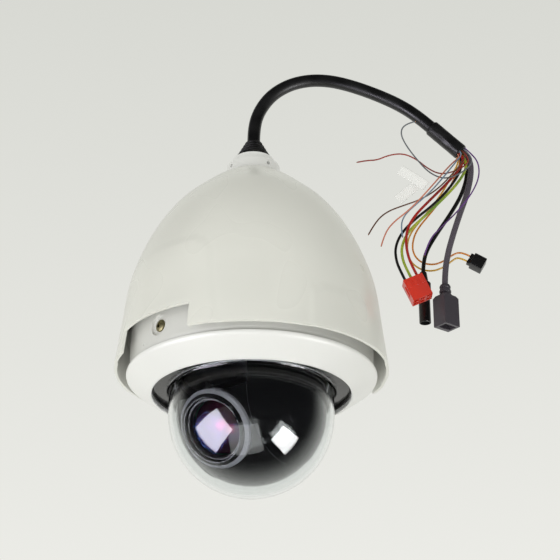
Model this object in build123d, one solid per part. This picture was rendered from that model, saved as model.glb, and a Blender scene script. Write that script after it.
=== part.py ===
"""Outdoor PTZ speed-dome camera, hanging from its neck. Millimetres, +Z up along the pan axis.

The origin is the centre of the neck's mounting collar. The housing hangs below it, and the tail
cable rises out of the neck, arches over to +X and ends in a bundle of pigtails.
"""

import math
import os

from build123d import *

# ---------------------------------------------------------------- driving dimensions

NECK_R = 22.5            # mounting collar that a bracket's socket slips over
NECK_HALF = 5.0          # half the collar's height
SPIGOT_R = 17.5          # narrower step above the collar
SPIGOT_TOP = 12.0
GLAND_TOP = 29.0
CABLE_D = 11.0           # tail cable

RIM_Z = -183.0           # lower rim of the sun shield
RIM_R = 110.0
SHIELD_WALL = 2.4
HOUSING_R = 98.0         # cast housing inside the shield
HOUSING_Z = -186.0
HOUSING_WALL = 3.0

OPENING_R = 79.5         # opening of the trim ring
OPENING_Z = -202.5
BUBBLE_R = 66.0
BUBBLE_Z = -218.5        # centre of the bubble's hemisphere
BUBBLE_WALL = 3.0
FLANGE_R = 83.0          # bubble's clamped flange
FLANGE_TOP = -194.4
FLANGE_BOTTOM = -197.4

NOTCH_STARTS = (204.0, 24.0)   # degrees about +Z where each rim notch begins
NOTCH_SPAN = 41.0
NOTCH_H = 19.5
LOCK_ANGLES = (223.5, 43.5)    # directions of the trim ring's lock screws
LOCK_Z = -169.0
LOCK_POCKET = 8.5        # radius of the round pocket that each lock screw sits in

PAN_REST = -36.5         # degrees about +Z, from the -Y direction
TILT_REST = 31.0         # degrees below the horizon
HEAD_Z = -215.0          # height of the tilt axis
HEAD_R = 60.0            # outside of the pan head's covers
DRUM_R = 59.4            # outside of the camera drum
DRUM_HALF = 32.6         # half the drum's width along the tilt axis
DRUM_CLIP = 27.0         # how far the drum reaches above and behind the tilt axis
SLOT_HALF = 33.4         # half the slot between the two side covers
LENS_SLOT_Y = -45.5      # back of the slot that clears the bezel in the head's top
COVER_WALL = 2.0

ARM_IN = 36.0            # yoke arms, distance of their inner and outer faces from the middle
ARM_OUT = 40.0
AXLE_R = 4.0
BEARING_R = 8.0
RUNNING = 0.05           # radial clearance of running fits

CHASSIS_TOP = -120.0
CHASSIS_WALL = 3.0
CHASSIS_R = 84.0
HUB_R = 15.0
HUB_BORE = 12.0
TURNTABLE_TOP = -182.0
TURNTABLE_WALL = 4.0
TURNTABLE_R = 56.0

PAN_MODULE = 1.0
PAN_GEAR_TEETH = 72
PAN_PINION_TEETH = 12
PAN_GEAR_Z = -152.0      # lower face of the pan gear
PAN_GEAR_W = 6.0
TILT_MODULE = 0.75
TILT_GEAR_TEETH = 36
TILT_PINION_TEETH = 12
TILT_GEAR_X = 41.5
TILT_GEAR_W = 4.0
GEAR_BACKLASH = 0.12     # taken off each tooth's thickness, in modules

PAN_DRIVE_DISTANCE = PAN_MODULE * (PAN_GEAR_TEETH + PAN_PINION_TEETH) / 2
TILT_DRIVE_DISTANCE = TILT_MODULE * (TILT_GEAR_TEETH + TILT_PINION_TEETH) / 2
TILT_MOTOR_X = 46.2
TILT_MOTOR_Z = HEAD_Z + TILT_DRIVE_DISTANCE
SKIRT_BOTTOM = -192.0
LINER_R = 87.2           # black ring that clamps the bubble's flange
LINER_BOTTOM = FLANGE_TOP
LINER_TOP = LINER_BOTTOM + 3.0
LINER_SCREW_RADIUS = 84.8
GASKET_WALL = 0.9
BUBBLE_ROOT = 4.0        # fillet between the bubble's wall and its flange
BOSS_BOTTOM = -141.0     # lower end of the chassis boss round the pan bearing
BEARING_OUTER = 21.0
HUB_TOP = -127.0
SLIP_R = 11.0
SLIP_BOTTOM = -126.0
SLIP_TOP = -100.0
BOARD_WALL = 1.6
STACK_BOTTOMS = (-107.6, -89.6, -70.6)     # undersides of the three stacked plates
STACK_TOPS = (CHASSIS_TOP, -106.0, -88.0)  # what each set of spacers stands on
MAIN_BOARD_PARTS = (                       # x, y, length, width, height
    (-30, 20, 18, 18, 2.4), (24, 26, 14, 14, 1.8), (28, -22, 20, 12, 6), (-28, -24, 16, 8, 8),
    (0, -33, 22, 6, 7), (0, 33, 12, 8, 3),
)
BEZEL_R = 31.0
BARREL_R = 24.0
LENS_R = 22.2
DRUM_PART_Y = 4.0        # where the drum's front and rear halves meet
DRUM_SCREW_HEIGHTS = (HEAD_Z + 12, HEAD_Z - 30)

SLEEVE_START = (153.0, 0.0, 44.5)   # heat-shrink sleeve at the end of the tail cable
SLEEVE_END = (177.5, 0.0, 20.0)
SLEEVE_D = 14.0

COUPLER_X = 158.5        # network coupler, hanging straight down
COUPLER_Y = 1.0
COUPLER_TOP = -104.0
COUPLER_BOTTOM = -142.0
COUPLER_YAW = 38.0
VIDEO_X = 142.0          # coaxial connector
VIDEO_Y = 11.0
VIDEO_TOP = -88.0
PLUG_POS = (130.5, -10.0, -104.0)    # middle of the power plug's wire face
PLUG_ROLL = -24.0        # degrees about +Y
TERMINAL_POS = (181.0, 14.0, -74.0)  # middle of the terminal block's wire face
TERMINAL_ROLL = 30.0

# Cord routes, corner by corner: each run is followed by an arc tangent to it and to the next.
MAIN_ROUTE = [
    (0, 0, 29), (0, 0, 45), (5, 0, 62), (15.5, 0, 77.5), (31, 0, 88), (49, 0, 92.5), (68, 0, 91.5),
    (88, 0, 85.5), (108, 0, 77), (126, 0, 67.5), (141.5, 0, 56), (153, 0, 44.5),
]
NETWORK_D = 5.0
NETWORK_ROUTE = [
    (179.3, 1.6, 21.8), (184.3, 1.6, 16.8), (186, 1.4, 3), (181.5, 1, -18), (174, 1, -38),
    (167.6, 1, -57), (162.2, 1, -75), (159.2, 1, -91), (158.5, 1, -104),
]
VIDEO_D = 3.4
VIDEO_ROUTE = [
    (176.9, 4.4, 19.4), (181.2, 4.4, 15.1), (183, 6.4, 2), (177.5, 8.6, -16), (167, 10, -34),
    (155.5, 11, -51), (146.5, 11, -66), (142.6, 11, -78), (142, 11, -88),
]
POWER_D = 2.3
POWER_ROUTES = [
    [(176.65, 0.4, 19.15), (181, 0.4, 14.8), (181, -3, 2), (172, -6.5, -14), (157.5, -8.5, -31),
     (142, -9.6, -47), (129, -9.8, -60), (122.8, -10, -74), (123.2, -10, -85.4), (126.4, -10, -94.9),
     (130.5, -10, -104)],
    [(174.8, 0.4, 17.3), (178.6, 0.4, 13.5), (176, 0, 1), (165, -2.4, -17), (151, -4.6, -33),
     (135, -6, -47), (123.2, -6.8, -60.5), (117.6, -8.4, -74.6), (118.2, -9.8, -87.4),
     (121.5, -10, -97), (125.56, -10, -106.2)],
    [(175.66, -2.1, 18.16), (179.62, -2.1, 14.2), (176, -6.6, 2), (163.5, -10.6, -15),
     (148.5, -12.4, -31.5), (134.5, -13, -47), (127.6, -13, -60), (126.4, -12.6, -73),
     (128, -11, -83.6), (131.3, -10, -92.7), (135.4, -10, -101.8)],
]
TERMINAL_D = 1.5
TERMINAL_ROUTES = [
    [(175.1, 3.4, 17.6), (177.6, 3.4, 15.1), (174, 9, 4), (165, 13.5, -12), (151, 16, -30),
     (138, 16.8, -46), (134, 16.8, -60), (135.6, 16.8, -70), (142, 16.4, -77), (152, 15.6, -79),
     (161, 14.8, -75.4), (168.4, 14, -69.6), (175.4, 14, -67.66), (182.35, 14, -71.66)],
    [(173.75, 2.4, 16.25), (176.2, 2.4, 13.8), (170, 10, 3), (160, 16.6, -13), (146, 19.4, -31),
     (133, 19.8, -47), (129.6, 19.8, -61), (132, 19.6, -73.6), (140, 19, -81.6), (151, 17.8, -84),
     (161, 16, -80.4), (167.6, 14.4, -75), (172.7, 14, -72.3), (179.65, 14, -76.34)],
]
SIGNAL_D = 1.2
SIGNAL_ROUTES = [
    [(178.07, -2.2, 20.57), (181.8, -2.2, 16.84), (183, -8, 6), (172, -12, -4), (158, -12, -8),
     (147, -12, -2), (138, -12, 7), (127, -12, 12.6), (115, -12, 11), (104.5, -12, 6), (96, -12, 5.8),
     (88, -12, 4)],
    [(179.48, -2.8, 21.98), (184, -2.8, 17.46), (186, -10, 5), (176, -16, -8), (161, -16.4, -15),
     (148, -16.4, -9), (138, -16.4, 4), (129, -16.4, 18), (124.6, -16.4, 30), (128.6, -16.4, 38.6),
     (137.6, -16.4, 41)],
    [(177.2, -4, 19.7), (180.4, -4, 16.5), (178, -14, 5), (168, -19.4, -10), (154, -20, -26),
     (139, -20, -36), (124, -20, -41.6), (111, -20, -47), (101.6, -20, -56), (95.4, -20, -68)],
    [(175.8, -4.8, 18.3), (178.2, -4.8, 15.9), (171, -15, 3), (160, -21, -14), (147, -23.6, -31),
     (134, -23.6, -43), (125, -23.6, -52), (121.6, -23.6, -62), (123, -23.6, -72)],
    [(174.25, -3, 16.75), (176.4, -3, 14.6), (166, -15, 0), (153, -22, -19), (139, -27, -38),
     (127, -27.4, -51), (116, -27.4, -60), (108.4, -27.4, -70), (105, -27.4, -82)],
    [(180.9, -1.6, 23.4), (185.6, -1.6, 18.7), (191, -8, 6), (190, -14, -12), (181, -20, -32),
     (168, -24, -50), (154, -26, -65), (144, -26, -76), (140, -26, -90)],
]

# ---------------------------------------------------------------- shared helpers


def tube_along(points, diameter, name):
    """Round cord along straight runs joined by tangent arcs, each as large as its runs allow."""
    corners = [Vector(*p) for p in points]
    runs = [b - a for a, b in zip(corners, corners[1:])]
    radii = []
    for before, after in zip(runs, runs[1:]):
        turn = math.radians(before.get_angle(after))
        radii.append(0.45 * min(before.length, after.length) / math.tan(turn / 2))
    path = FilletPolyline(*points, radius=radii)
    start = Plane(origin=path @ 0, z_dir=path % 0)
    tube = sweep(start * Circle(diameter / 2), path=path)
    expected = math.pi * diameter**2 / 4 * path.length
    print(name, "length", round(path.length, 1), "arc radii", [round(r) for r in radii],
          "volume over section times length", round(tube.volume / expected, 4))
    return tube


def cylinder(radius, low, high, x=0.0, y=0.0):
    """Upright cylinder between two heights."""
    return Pos(x, y, (low + high) / 2) * Cylinder(radius, high - low)


def ring(outer, inner, low, high):
    """Upright ring between two heights."""
    return cylinder(outer, low, high) - cylinder(inner, low - 1, high + 1)


def along_x(radius, start, end, y=0.0, z=HEAD_Z):
    """Cylinder along the tilt axis's direction, between two distances from the middle."""
    return Pos((start + end) / 2, y, z) * Rot(0, 90, 0) * Cylinder(radius, abs(end - start))


def along_y(radius, start, end, x=0.0, z=HEAD_Z):
    """Cylinder along the lens's direction, between two distances from the tilt axis."""
    return Pos(x, (start + end) / 2, z) * Rot(90, 0, 0) * Cylinder(radius, abs(end - start))


def slab(x0, x1, y0, y1, z0, z1):
    """Rectangular block between two corners."""
    return Pos((x0 + x1) / 2, (y0 + y1) / 2, (z0 + z1) / 2) * Box(x1 - x0, y1 - y0, z1 - z0)


def turned(points, span=360):
    """Solid of revolution about +Z of a closed outline of (radius, height) points."""
    outline = Polyline(*[(r, 0, z) for r, z in points], close=True)
    return revolve(make_face(outline), Axis.Z, span)


def bell(points):
    """Solid under a smooth outline from a low rim point up to a top point, closed to the axis."""
    low, high = points[0], points[-1]
    curve = Spline(*[(r, 0, z) for r, z in points])
    closing = Polyline((high[0], 0, high[1]), (0, 0, high[1]), (0, 0, low[1]), (low[0], 0, low[1]))
    return revolve(make_face(curve + closing), Axis.Z, 360)


def around(count, radius, shape, start=0.0):
    """Copies of a shape made at the origin, spread on a circle and kept as separate solids."""
    return [Rot(0, 0, start + 360 * i / count) * Pos(radius, 0, 0) * shape for i in range(count)]


def screw(head_r, head_h, shank_r, shank_h):
    """Pan-head screw with a cross recess; its shank goes down from the origin."""
    head = fillet(cylinder(head_r, 0, head_h).edges().group_by(Axis.Z)[-1], head_h * 0.45)
    body = head + cylinder(shank_r, -shank_h, 0)
    arm = head_r * 0.55
    slot = head_h * 0.45
    return (
        body
        - slab(-arm, arm, -head_r * 0.13, head_r * 0.13, head_h - slot, head_h + 1)
        - slab(-head_r * 0.13, head_r * 0.13, -arm, arm, head_h - slot, head_h + 1)
    )


def involute(angle):
    """Involute function of a pressure angle in radians."""
    return math.tan(angle) - angle


def gear(teeth, module, width, bore, phase=0.0):
    """Spur gear about +Z, standing on the origin plane, with a tooth centred on +X at phase 0."""
    pitch_r = module * teeth / 2
    base_r = pitch_r * math.cos(math.radians(20))
    tip_r = pitch_r + 0.85 * module
    root_r = pitch_r - 1.15 * module
    half = math.pi / (2 * teeth) - GEAR_BACKLASH / (2 * teeth / 2) + involute(math.radians(20))
    flank = []
    steps = 5
    inner_r = max(base_r, root_r)
    for i in range(steps):
        r = inner_r + (tip_r - inner_r) * i / (steps - 1)
        flank.append((r, half - involute(math.acos(min(1.0, base_r / r)))))
    if root_r < inner_r:
        flank.insert(0, (root_r, flank[0][1]))
    corners = []
    for k in range(teeth):
        middle = math.radians(phase) + 2 * math.pi * k / teeth
        for r, a in flank:
            corners.append((r * math.cos(middle - a), r * math.sin(middle - a)))
        for r, a in reversed(flank):
            corners.append((r * math.cos(middle + a), r * math.sin(middle + a)))
    body = extrude(make_face(Polyline(*corners, close=True)), amount=width)
    return body - cylinder(bore, -1, width + 1)


# ---------------------------------------------------------------- housing and shield

SHIELD_OUTLINE = [
    (RIM_R, RIM_Z), (105.6, -148), (101.0, -113), (91.5, -84), (79.0, -59), (64.5, -39),
    (48.0, -23.5), (35.5, -13), (23.8, NECK_HALF * -1),
]
HOUSING_OUTLINE = [(HOUSING_R, HOUSING_Z), (97.4, -150), (93, -118), (83, -90), (70, -65), (54, -44),
                   (30, -24)]


def inset(outline, amount):
    """Outline moved inwards and down by a wall thickness, by its normals."""
    moved = []
    for i, (r, z) in enumerate(outline):
        r0, z0 = outline[max(i - 1, 0)]
        r1, z1 = outline[min(i + 1, len(outline) - 1)]
        size = math.hypot(r1 - r0, z1 - z0)
        moved.append((r - amount * (z1 - z0) / size, z + amount * (r1 - r0) / size))
    return moved


def shield_shell():
    """Whole bell-shaped shell with a hole for the neck, before its rim is parted off."""
    outer = bell(SHIELD_OUTLINE)
    inner = bell(inset(SHIELD_OUTLINE, SHIELD_WALL))
    shell = outer - inner - cylinder(RIM_R, RIM_Z - 20, RIM_Z + 0.01)
    return shell - cylinder(NECK_R - 0.1, -40, 10)


def sun_shield():
    """Bell of the sun shield, down to the top of the notches."""
    return shield_shell() - cylinder(2 * RIM_R, RIM_Z - 20, RIM_Z + NOTCH_H)


def shield_rim():
    """Rim band of the sun shield: the two arcs left between its two notches."""
    band = shield_shell() & cylinder(2 * RIM_R, RIM_Z - 20, RIM_Z + NOTCH_H)
    for start in NOTCH_STARTS:
        outline = [(60, RIM_Z - 10), (130, RIM_Z - 10), (130, RIM_Z + NOTCH_H + 1),
                   (60, RIM_Z + NOTCH_H + 1)]
        band -= Rot(0, 0, start) * turned(outline, NOTCH_SPAN)
    return band


def upper_housing():
    """Cast bell inside the shield, with four posts' bosses, a flat top and two screw pockets."""
    outer = bell(HOUSING_OUTLINE) + cylinder(30, -26, -20)
    inner = bell(inset(HOUSING_OUTLINE, HOUSING_WALL)) + cylinder(HOUSING_R - HOUSING_WALL,
                                                                 HOUSING_Z - 5, HOUSING_Z + 4)
    shell = outer - inner - cylinder(14, -60, 0)
    bosses = Part() + around(4, 64, cylinder(6, -72, -50), 45)
    shell += bosses & bell(inset(HOUSING_OUTLINE, 1.0))
    for x, y in neck_screw_spots():
        shell -= cylinder(1.7, -32, -19, x, y)
    for angle in LOCK_ANGLES:
        outward = Rot(0, 90, 0)
        pocket = Pos(HOUSING_R - 0.8, 0, LOCK_Z) * outward * Cylinder(LOCK_POCKET, 4)
        pocket = Rot(0, 0, angle) * pocket
        hole = Rot(0, 0, angle) * (Pos(HOUSING_R - 4, 0, LOCK_Z) * outward * Cylinder(2.1, 12))
        shell -= pocket
        shell -= hole
    return shell


def neck_screw_spots():
    """Places of the four screws that hold the neck's flange on the housing."""
    return [(26 * math.cos(math.radians(a)), 26 * math.sin(math.radians(a))) for a in (45, 135, 225, 315)]


def mount_neck():
    """Neck with a flange, the mounting collar, a spigot, lock-screw holes and a cable bore."""
    neck = cylinder(30, -20, -15.5) + cylinder(NECK_R - 0.5, -15.5, -NECK_HALF)
    neck += chamfer(cylinder(NECK_R, -NECK_HALF, NECK_HALF).edges().group_by(Axis.Z)[-1], 0.8)
    neck += chamfer(cylinder(SPIGOT_R, NECK_HALF, SPIGOT_TOP).edges().group_by(Axis.Z)[-1], 0.8)
    neck -= cylinder(9.0, -25, 3)
    neck -= cylinder(12.0, 3, SPIGOT_TOP + 1)
    for angle in (215, 305, 35, 125):
        neck -= Rot(0, 0, angle) * (Pos(NECK_R, 0, 0) * Rot(0, 90, 0) * Cylinder(1.7, 8))
    for x, y in neck_screw_spots():
        neck -= cylinder(1.7, -21, -10, x, y)
    return neck


def neck_screws():
    """Four short cap screws through the neck's flange."""
    return [Pos(x, y, -15.5) * screw(2.7, 1.6, 1.6, 10) for x, y in neck_screw_spots()]


def cable_gland():
    """Rubber strain relief: a plug in the neck, a collar and a ribbed cone round the cable."""
    gland = cylinder(11.9, 3.2, SPIGOT_TOP) + cylinder(14.3, SPIGOT_TOP, 16)
    heights = (16, 19.2, 22.4, 25.6)
    for step, low in enumerate(heights):
        wide = 12.8 - 1.7 * step
        gland += turned([(0, low), (wide - 1.6, low), (wide - 1.6, low + 1.0), (wide, low + 1.4),
                         (wide - 0.7, low + 3.2), (0, low + 3.2)])
    return gland + cylinder(7.2, 28.8, GLAND_TOP)


def dome_ring():
    """White trim ring: a sloping face from the housing's width in to the opening, and a skirt."""
    edge = HOUSING_Z - 0.2
    seat = FLANGE_BOTTOM - GASKET_WALL - 0.1
    return turned([
        (HOUSING_R - 3.4, edge + 4), (HOUSING_R - 3.4, edge), (HOUSING_R + 2.3, edge),
        (HOUSING_R + 2.5, edge - 1.4), (HOUSING_R + 1.6, edge - 3.2), (OPENING_R + 1.6, OPENING_Z),
        (OPENING_R, OPENING_Z + 0.6), (OPENING_R, seat), (FLANGE_R + 0.8, seat),
        (FLANGE_R + 0.8, seat + 1.8), (HOUSING_R - 6.4, seat + 6.4), (HOUSING_R - 6.4, edge + 4),
    ])


def ring_lock_screws():
    """Two captive screws in pockets of the housing, which lock the trim ring's skirt."""
    made = []
    for angle in LOCK_ANGLES:
        one = Rot(0, 90, 0) * screw(5.0, 2.0, 1.9, 7)
        made.append(Rot(0, 0, angle) * Pos(HOUSING_R - 2.8, 0, LOCK_Z) * one)
    return made


def dome_gasket():
    """Black rubber ring between the trim ring's lip and the bubble's flange, with a short lip below."""
    seat = FLANGE_BOTTOM - GASKET_WALL
    return turned([
        (OPENING_R - 1.6, FLANGE_BOTTOM), (FLANGE_R, FLANGE_BOTTOM), (FLANGE_R, seat),
        (OPENING_R - 0.2, seat), (OPENING_R - 0.2, seat - 1.3), (OPENING_R - 1.6, seat - 1.3),
    ])


def dome_moulding():
    """Clear bubble: a hemisphere on a short cylinder with a clamped flange and a rounded root."""
    middle = (BUBBLE_Z + FLANGE_BOTTOM) / 2
    outer = cylinder(BUBBLE_R, BUBBLE_Z, FLANGE_TOP) + Pos(0, 0, BUBBLE_Z) * Sphere(BUBBLE_R)
    outer -= cylinder(BUBBLE_R + 1, FLANGE_TOP, -100)
    outer += cylinder(FLANGE_R, FLANGE_BOTTOM, FLANGE_TOP)
    corner = outer.edges().filter_by(GeomType.CIRCLE)
    corner = corner.filter_by(lambda e: abs(e.radius - BUBBLE_R) < 0.01 and e.center().Z > middle)
    outer = fillet(corner, BUBBLE_ROOT)
    inner_r = BUBBLE_R - BUBBLE_WALL
    inner = cylinder(inner_r, BUBBLE_Z, FLANGE_TOP + 1) + Pos(0, 0, BUBBLE_Z) * Sphere(inner_r)
    return outer - inner


def dome_bubble():
    """Bubble without its flange."""
    return dome_moulding() & cylinder(BUBBLE_R, BUBBLE_Z - 2 * BUBBLE_R, FLANGE_TOP)


def dome_flange():
    """Bubble's flange with its rounded root, moulded in one with the bubble."""
    return dome_moulding() - cylinder(BUBBLE_R, BUBBLE_Z - 2 * BUBBLE_R, FLANGE_TOP + 1)


def dome_liner():
    """Black ring above the bubble's flange, which clamps it and hides the housing's inside."""
    liner = ring(LINER_R, HEAD_R + 1.6, LINER_BOTTOM, LINER_TOP)
    for hole in around(8, LINER_SCREW_RADIUS, cylinder(1.2, LINER_BOTTOM - 1, LINER_TOP + 1), 22.5):
        liner -= hole
    return liner


def liner_screws():
    """Eight screws that pull the liner down onto the bubble's flange."""
    one = Pos(0, 0, LINER_TOP) * screw(1.9, 1.3, 1.1, 3.6)
    return around(8, LINER_SCREW_RADIUS, one, 22.5)


# ---------------------------------------------------------------- chassis, boards and air fan


def chassis_plate():
    """Cast plate across the housing, with the pan bearing's boss and a bore for the slip ring."""
    plate = cylinder(CHASSIS_R, CHASSIS_TOP - CHASSIS_WALL, CHASSIS_TOP)
    plate += cylinder(23.8, BOSS_BOTTOM, CHASSIS_TOP - CHASSIS_WALL)
    plate -= cylinder(BEARING_OUTER, BOSS_BOTTOM - 1, BOSS_BOTTOM + 10)
    plate -= cylinder(HUB_R + 1.5, BOSS_BOTTOM, CHASSIS_TOP - CHASSIS_WALL)
    plate -= cylinder(SLIP_R + 0.2, CHASSIS_TOP - 10, CHASSIS_TOP + 1)
    plate -= cylinder(3.0, CHASSIS_TOP - 10, CHASSIS_TOP + 1, 0, PAN_DRIVE_DISTANCE)
    for angle in (20, 100, 160, 200, 260, 340):
        plate -= Rot(0, 0, angle) * cylinder(7, CHASSIS_TOP - 10, CHASSIS_TOP + 1, 68, 0)
    return plate


def chassis_posts():
    """Four posts up to the housing's bosses, and the spacers between the stacked boards."""
    posts = around(4, 64, cylinder(4, CHASSIS_TOP, -72), 45)
    for low, high in zip(STACK_TOPS, STACK_BOTTOMS):
        posts += around(4, 52, cylinder(2.6, low, high), 45)
    return posts


def board(size_x, size_y, bottom, hole_r=0.0):
    """Circuit board with rounded corners and an optional round hole in the middle."""
    blank = slab(-size_x / 2, size_x / 2, -size_y / 2, size_y / 2, bottom, bottom + BOARD_WALL)
    blank = fillet(blank.edges().filter_by(Axis.Z), 4)
    return blank - cylinder(hole_r, bottom - 1, bottom + 5) if hole_r else blank


def main_board():
    """Processor board round the slip ring, with its chips, cans and cable headers."""
    bottom = STACK_BOTTOMS[0]
    top = bottom + BOARD_WALL
    made = board(84, 80, bottom, SLIP_R + 1.5)
    for x, y, sx, sy, h in MAIN_BOARD_PARTS:
        made += slab(x - sx / 2, x + sx / 2, y - sy / 2, y + sy / 2, top, top + h)
    return made


def power_board():
    """Supply board with a transformer, three capacitors and a terminal header."""
    bottom = STACK_BOTTOMS[1]
    top = bottom + BOARD_WALL
    made = board(82, 80, bottom)
    made += slab(-30, -8, -14, 14, top, top + 14)
    for y in (-20, -6, 8):
        made += cylinder(4, top, top + 12, 10, y)
    return made + slab(20, 30, -26, 10, top, top + 9)


def heater_plate():
    """Aluminium heater plate on top of the board stack, with slots for the air."""
    plate = board(80, 76, STACK_BOTTOMS[2])
    for x in (-30, 30):
        plate -= slab(x - 2, x + 2, -22, 22, -200, 0)
    return plate


def fan_frame():
    """Square frame of the air fan with a round duct and a hub on three struts."""
    low = STACK_BOTTOMS[2] + BOARD_WALL
    frame = slab(-20, 20, -20, 20, low, low + 10)
    frame = fillet(frame.edges().filter_by(Axis.Z), 3)
    frame -= cylinder(18.6, low - 1, low + 11)
    frame += cylinder(7, low, low + 1.4)
    for angle in (0, 120, 240):
        frame += Rot(0, 0, angle) * slab(5, 19, -1, 1, low, low + 1.4)
    return frame + cylinder(1.2, low, low + 6)


def fan_rotor():
    """Fan impeller: a hub cup on the frame's pin and seven pitched blades."""
    low = STACK_BOTTOMS[2] + BOARD_WALL
    hub = cylinder(8, low + 2.2, low + 8.6) - cylinder(1.2 + RUNNING, low, low + 6.6)
    for i in range(7):
        blade = Pos(12.2, 0, low + 5.4) * Rot(38, 0, 0) * Box(9.6, 7.0, 0.9)
        hub += Rot(0, 0, 360 * i / 7) * blade
    return hub


# ---------------------------------------------------------------- pan drive


def pan_bearing():
    """Fixed sleeve bearing in the chassis boss, in which the turntable's hub runs."""
    return ring(BEARING_OUTER, HUB_R + RUNNING, BOSS_BOTTOM, BOSS_BOTTOM + 9.9)


def slip_ring_body():
    """Fixed half of the slip ring: a can in the chassis bore with a flange on top."""
    can = cylinder(SLIP_R, SLIP_BOTTOM, SLIP_TOP)
    return can + cylinder(SLIP_R + 4, CHASSIS_TOP, CHASSIS_TOP + 2)


def slip_ring_rotor():
    """Turning half of the slip ring: a stem and a drum of wires that turn with the hub."""
    stem = cylinder(6, SLIP_BOTTOM - 24, SLIP_BOTTOM - 0.4)
    return stem + cylinder(HUB_BORE, SLIP_BOTTOM - 24, SLIP_BOTTOM - 21)


def pan_motor():
    """Stepper motor hung under the chassis plate behind the hub, with its shaft pointing down."""
    y = PAN_DRIVE_DISTANCE
    top = CHASSIS_TOP - CHASSIS_WALL
    can = cylinder(17.5, top - 20, top, 0, y)
    can = chamfer(can.edges().group_by(Axis.Z)[0], 1)
    return can + cylinder(2.5, PAN_GEAR_Z - 1, top - 20, 0, y)


def pan_pinion():
    """Pinion on the pan motor's shaft."""
    phase = 90 + 180 + 180 / PAN_PINION_TEETH
    made = gear(PAN_PINION_TEETH, PAN_MODULE, PAN_GEAR_W, 2.5 + RUNNING, phase)
    return Pos(0, PAN_DRIVE_DISTANCE, PAN_GEAR_Z) * made


def pan_gear():
    """Large gear on the turntable's hub."""
    made = gear(PAN_GEAR_TEETH, PAN_MODULE, PAN_GEAR_W, HUB_R, 90)
    for i in range(6):
        made -= Rot(0, 0, 60 * i + 30) * cylinder(5, -1, PAN_GEAR_W + 1, 25, 0)
    return Pos(0, 0, PAN_GEAR_Z) * made


def lens_slot():
    """Space at the front of the head's top that the lens bezel swings into at the horizon."""
    return slab(-SLOT_HALF, SLOT_HALF, -2 * HEAD_R, LENS_SLOT_Y, SKIRT_BOTTOM - 1, TURNTABLE_TOP + 1)


def pan_turntable():
    """Turning plate above the head, with the hollow hub that runs in the pan bearing."""
    low = TURNTABLE_TOP - TURNTABLE_WALL
    plate = cylinder(TURNTABLE_R, low, TURNTABLE_TOP) + cylinder(HUB_R, low, HUB_TOP)
    return plate - cylinder(HUB_BORE, low - 1, HUB_TOP + 1) - lens_slot()


# ---------------------------------------------------------------- pan head, lens towards -Y


def head_envelope(radius):
    """Upright cylinder with a hemisphere below it: the outside of the whole head."""
    return cylinder(radius, HEAD_Z, SKIRT_BOTTOM) + Pos(0, 0, HEAD_Z) * Sphere(radius)


def head_skirt():
    """Black ring under the turntable that closes the head's top edge, open in front of the lens."""
    whole = ring(HEAD_R, TURNTABLE_R - 0.5, SKIRT_BOTTOM, TURNTABLE_TOP - TURNTABLE_WALL)
    return whole - lens_slot()


def side_cover(side):
    """One of the two covers beside the camera drum: a thin part of the head's envelope."""
    shell = head_envelope(HEAD_R) - head_envelope(HEAD_R - COVER_WALL)
    shell &= slab(SLOT_HALF, 70, -70, 70, HEAD_Z - 70, SKIRT_BOTTOM)
    shell -= ring(HEAD_R + 1, HEAD_R - 0.5, HEAD_Z - 4.4, HEAD_Z - 3.8)
    if side > 0:
        for row in range(8):
            for column in range(6):
                turn = 14 + 7 * column
                drop = -2 + 5.5 * row
                hole = Pos(HEAD_R, 0, 0) * Rot(0, 90, 0) * Cylinder(1.1, 12)
                shell -= Pos(0, 0, HEAD_Z) * Rot(0, 0, turn) * Rot(0, drop + 6, 0) * hole
    return shell if side > 0 else mirror(shell, Plane.YZ)


def yoke_arm(side):
    """Arm under the turntable that carries one tilt bearing; the right one also holds the motor."""
    low = HEAD_Z - 12
    arm = slab(ARM_IN, ARM_OUT, -15, 15, low, TURNTABLE_TOP - TURNTABLE_WALL)
    arm = fillet(arm.edges().filter_by(Axis.X).group_by(Axis.Z)[0], 11)
    arm -= along_x(BEARING_R, ARM_IN - 1, ARM_OUT + 1)
    if side > 0:
        for y in (-11, 11):
            arm += along_x(1.8, ARM_OUT, TILT_MOTOR_X, y, TILT_MOTOR_Z)
    return arm if side > 0 else mirror(arm, Plane.YZ)


def tilt_bearings():
    """Two plain bearings in the yoke arms, in which the drum's axles run."""
    right = along_x(BEARING_R, ARM_IN, ARM_OUT) - along_x(AXLE_R + RUNNING, ARM_IN - 1, ARM_OUT + 1)
    return [right, mirror(right, Plane.YZ)]


def tilt_motor():
    """Flat stepper motor outside the right arm, with its shaft pointing inwards."""
    z = TILT_MOTOR_Z
    motor = slab(TILT_MOTOR_X, TILT_MOTOR_X + 1.5, -13.5, 13.5, z - 4, z + 4)
    motor += along_x(8, TILT_MOTOR_X, TILT_MOTOR_X + 8.6, 0, z)
    return motor + along_x(1.0, ARM_OUT + 0.6, TILT_MOTOR_X, 0, z)


def tilt_pinion():
    """Pinion on the tilt motor's shaft."""
    phase = 180 / TILT_PINION_TEETH
    made = gear(TILT_PINION_TEETH, TILT_MODULE, TILT_GEAR_W, 1.0 + RUNNING, phase)
    return Pos(TILT_GEAR_X, 0, TILT_MOTOR_Z) * Rot(0, 90, 0) * made


def tilt_gear():
    """Gear on the drum's right axle."""
    made = gear(TILT_GEAR_TEETH, TILT_MODULE, TILT_GEAR_W, AXLE_R, 180)
    return Pos(TILT_GEAR_X, 0, HEAD_Z) * Rot(0, 90, 0) * made


# ---------------------------------------------------------------- camera drum, lens towards -Y


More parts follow.
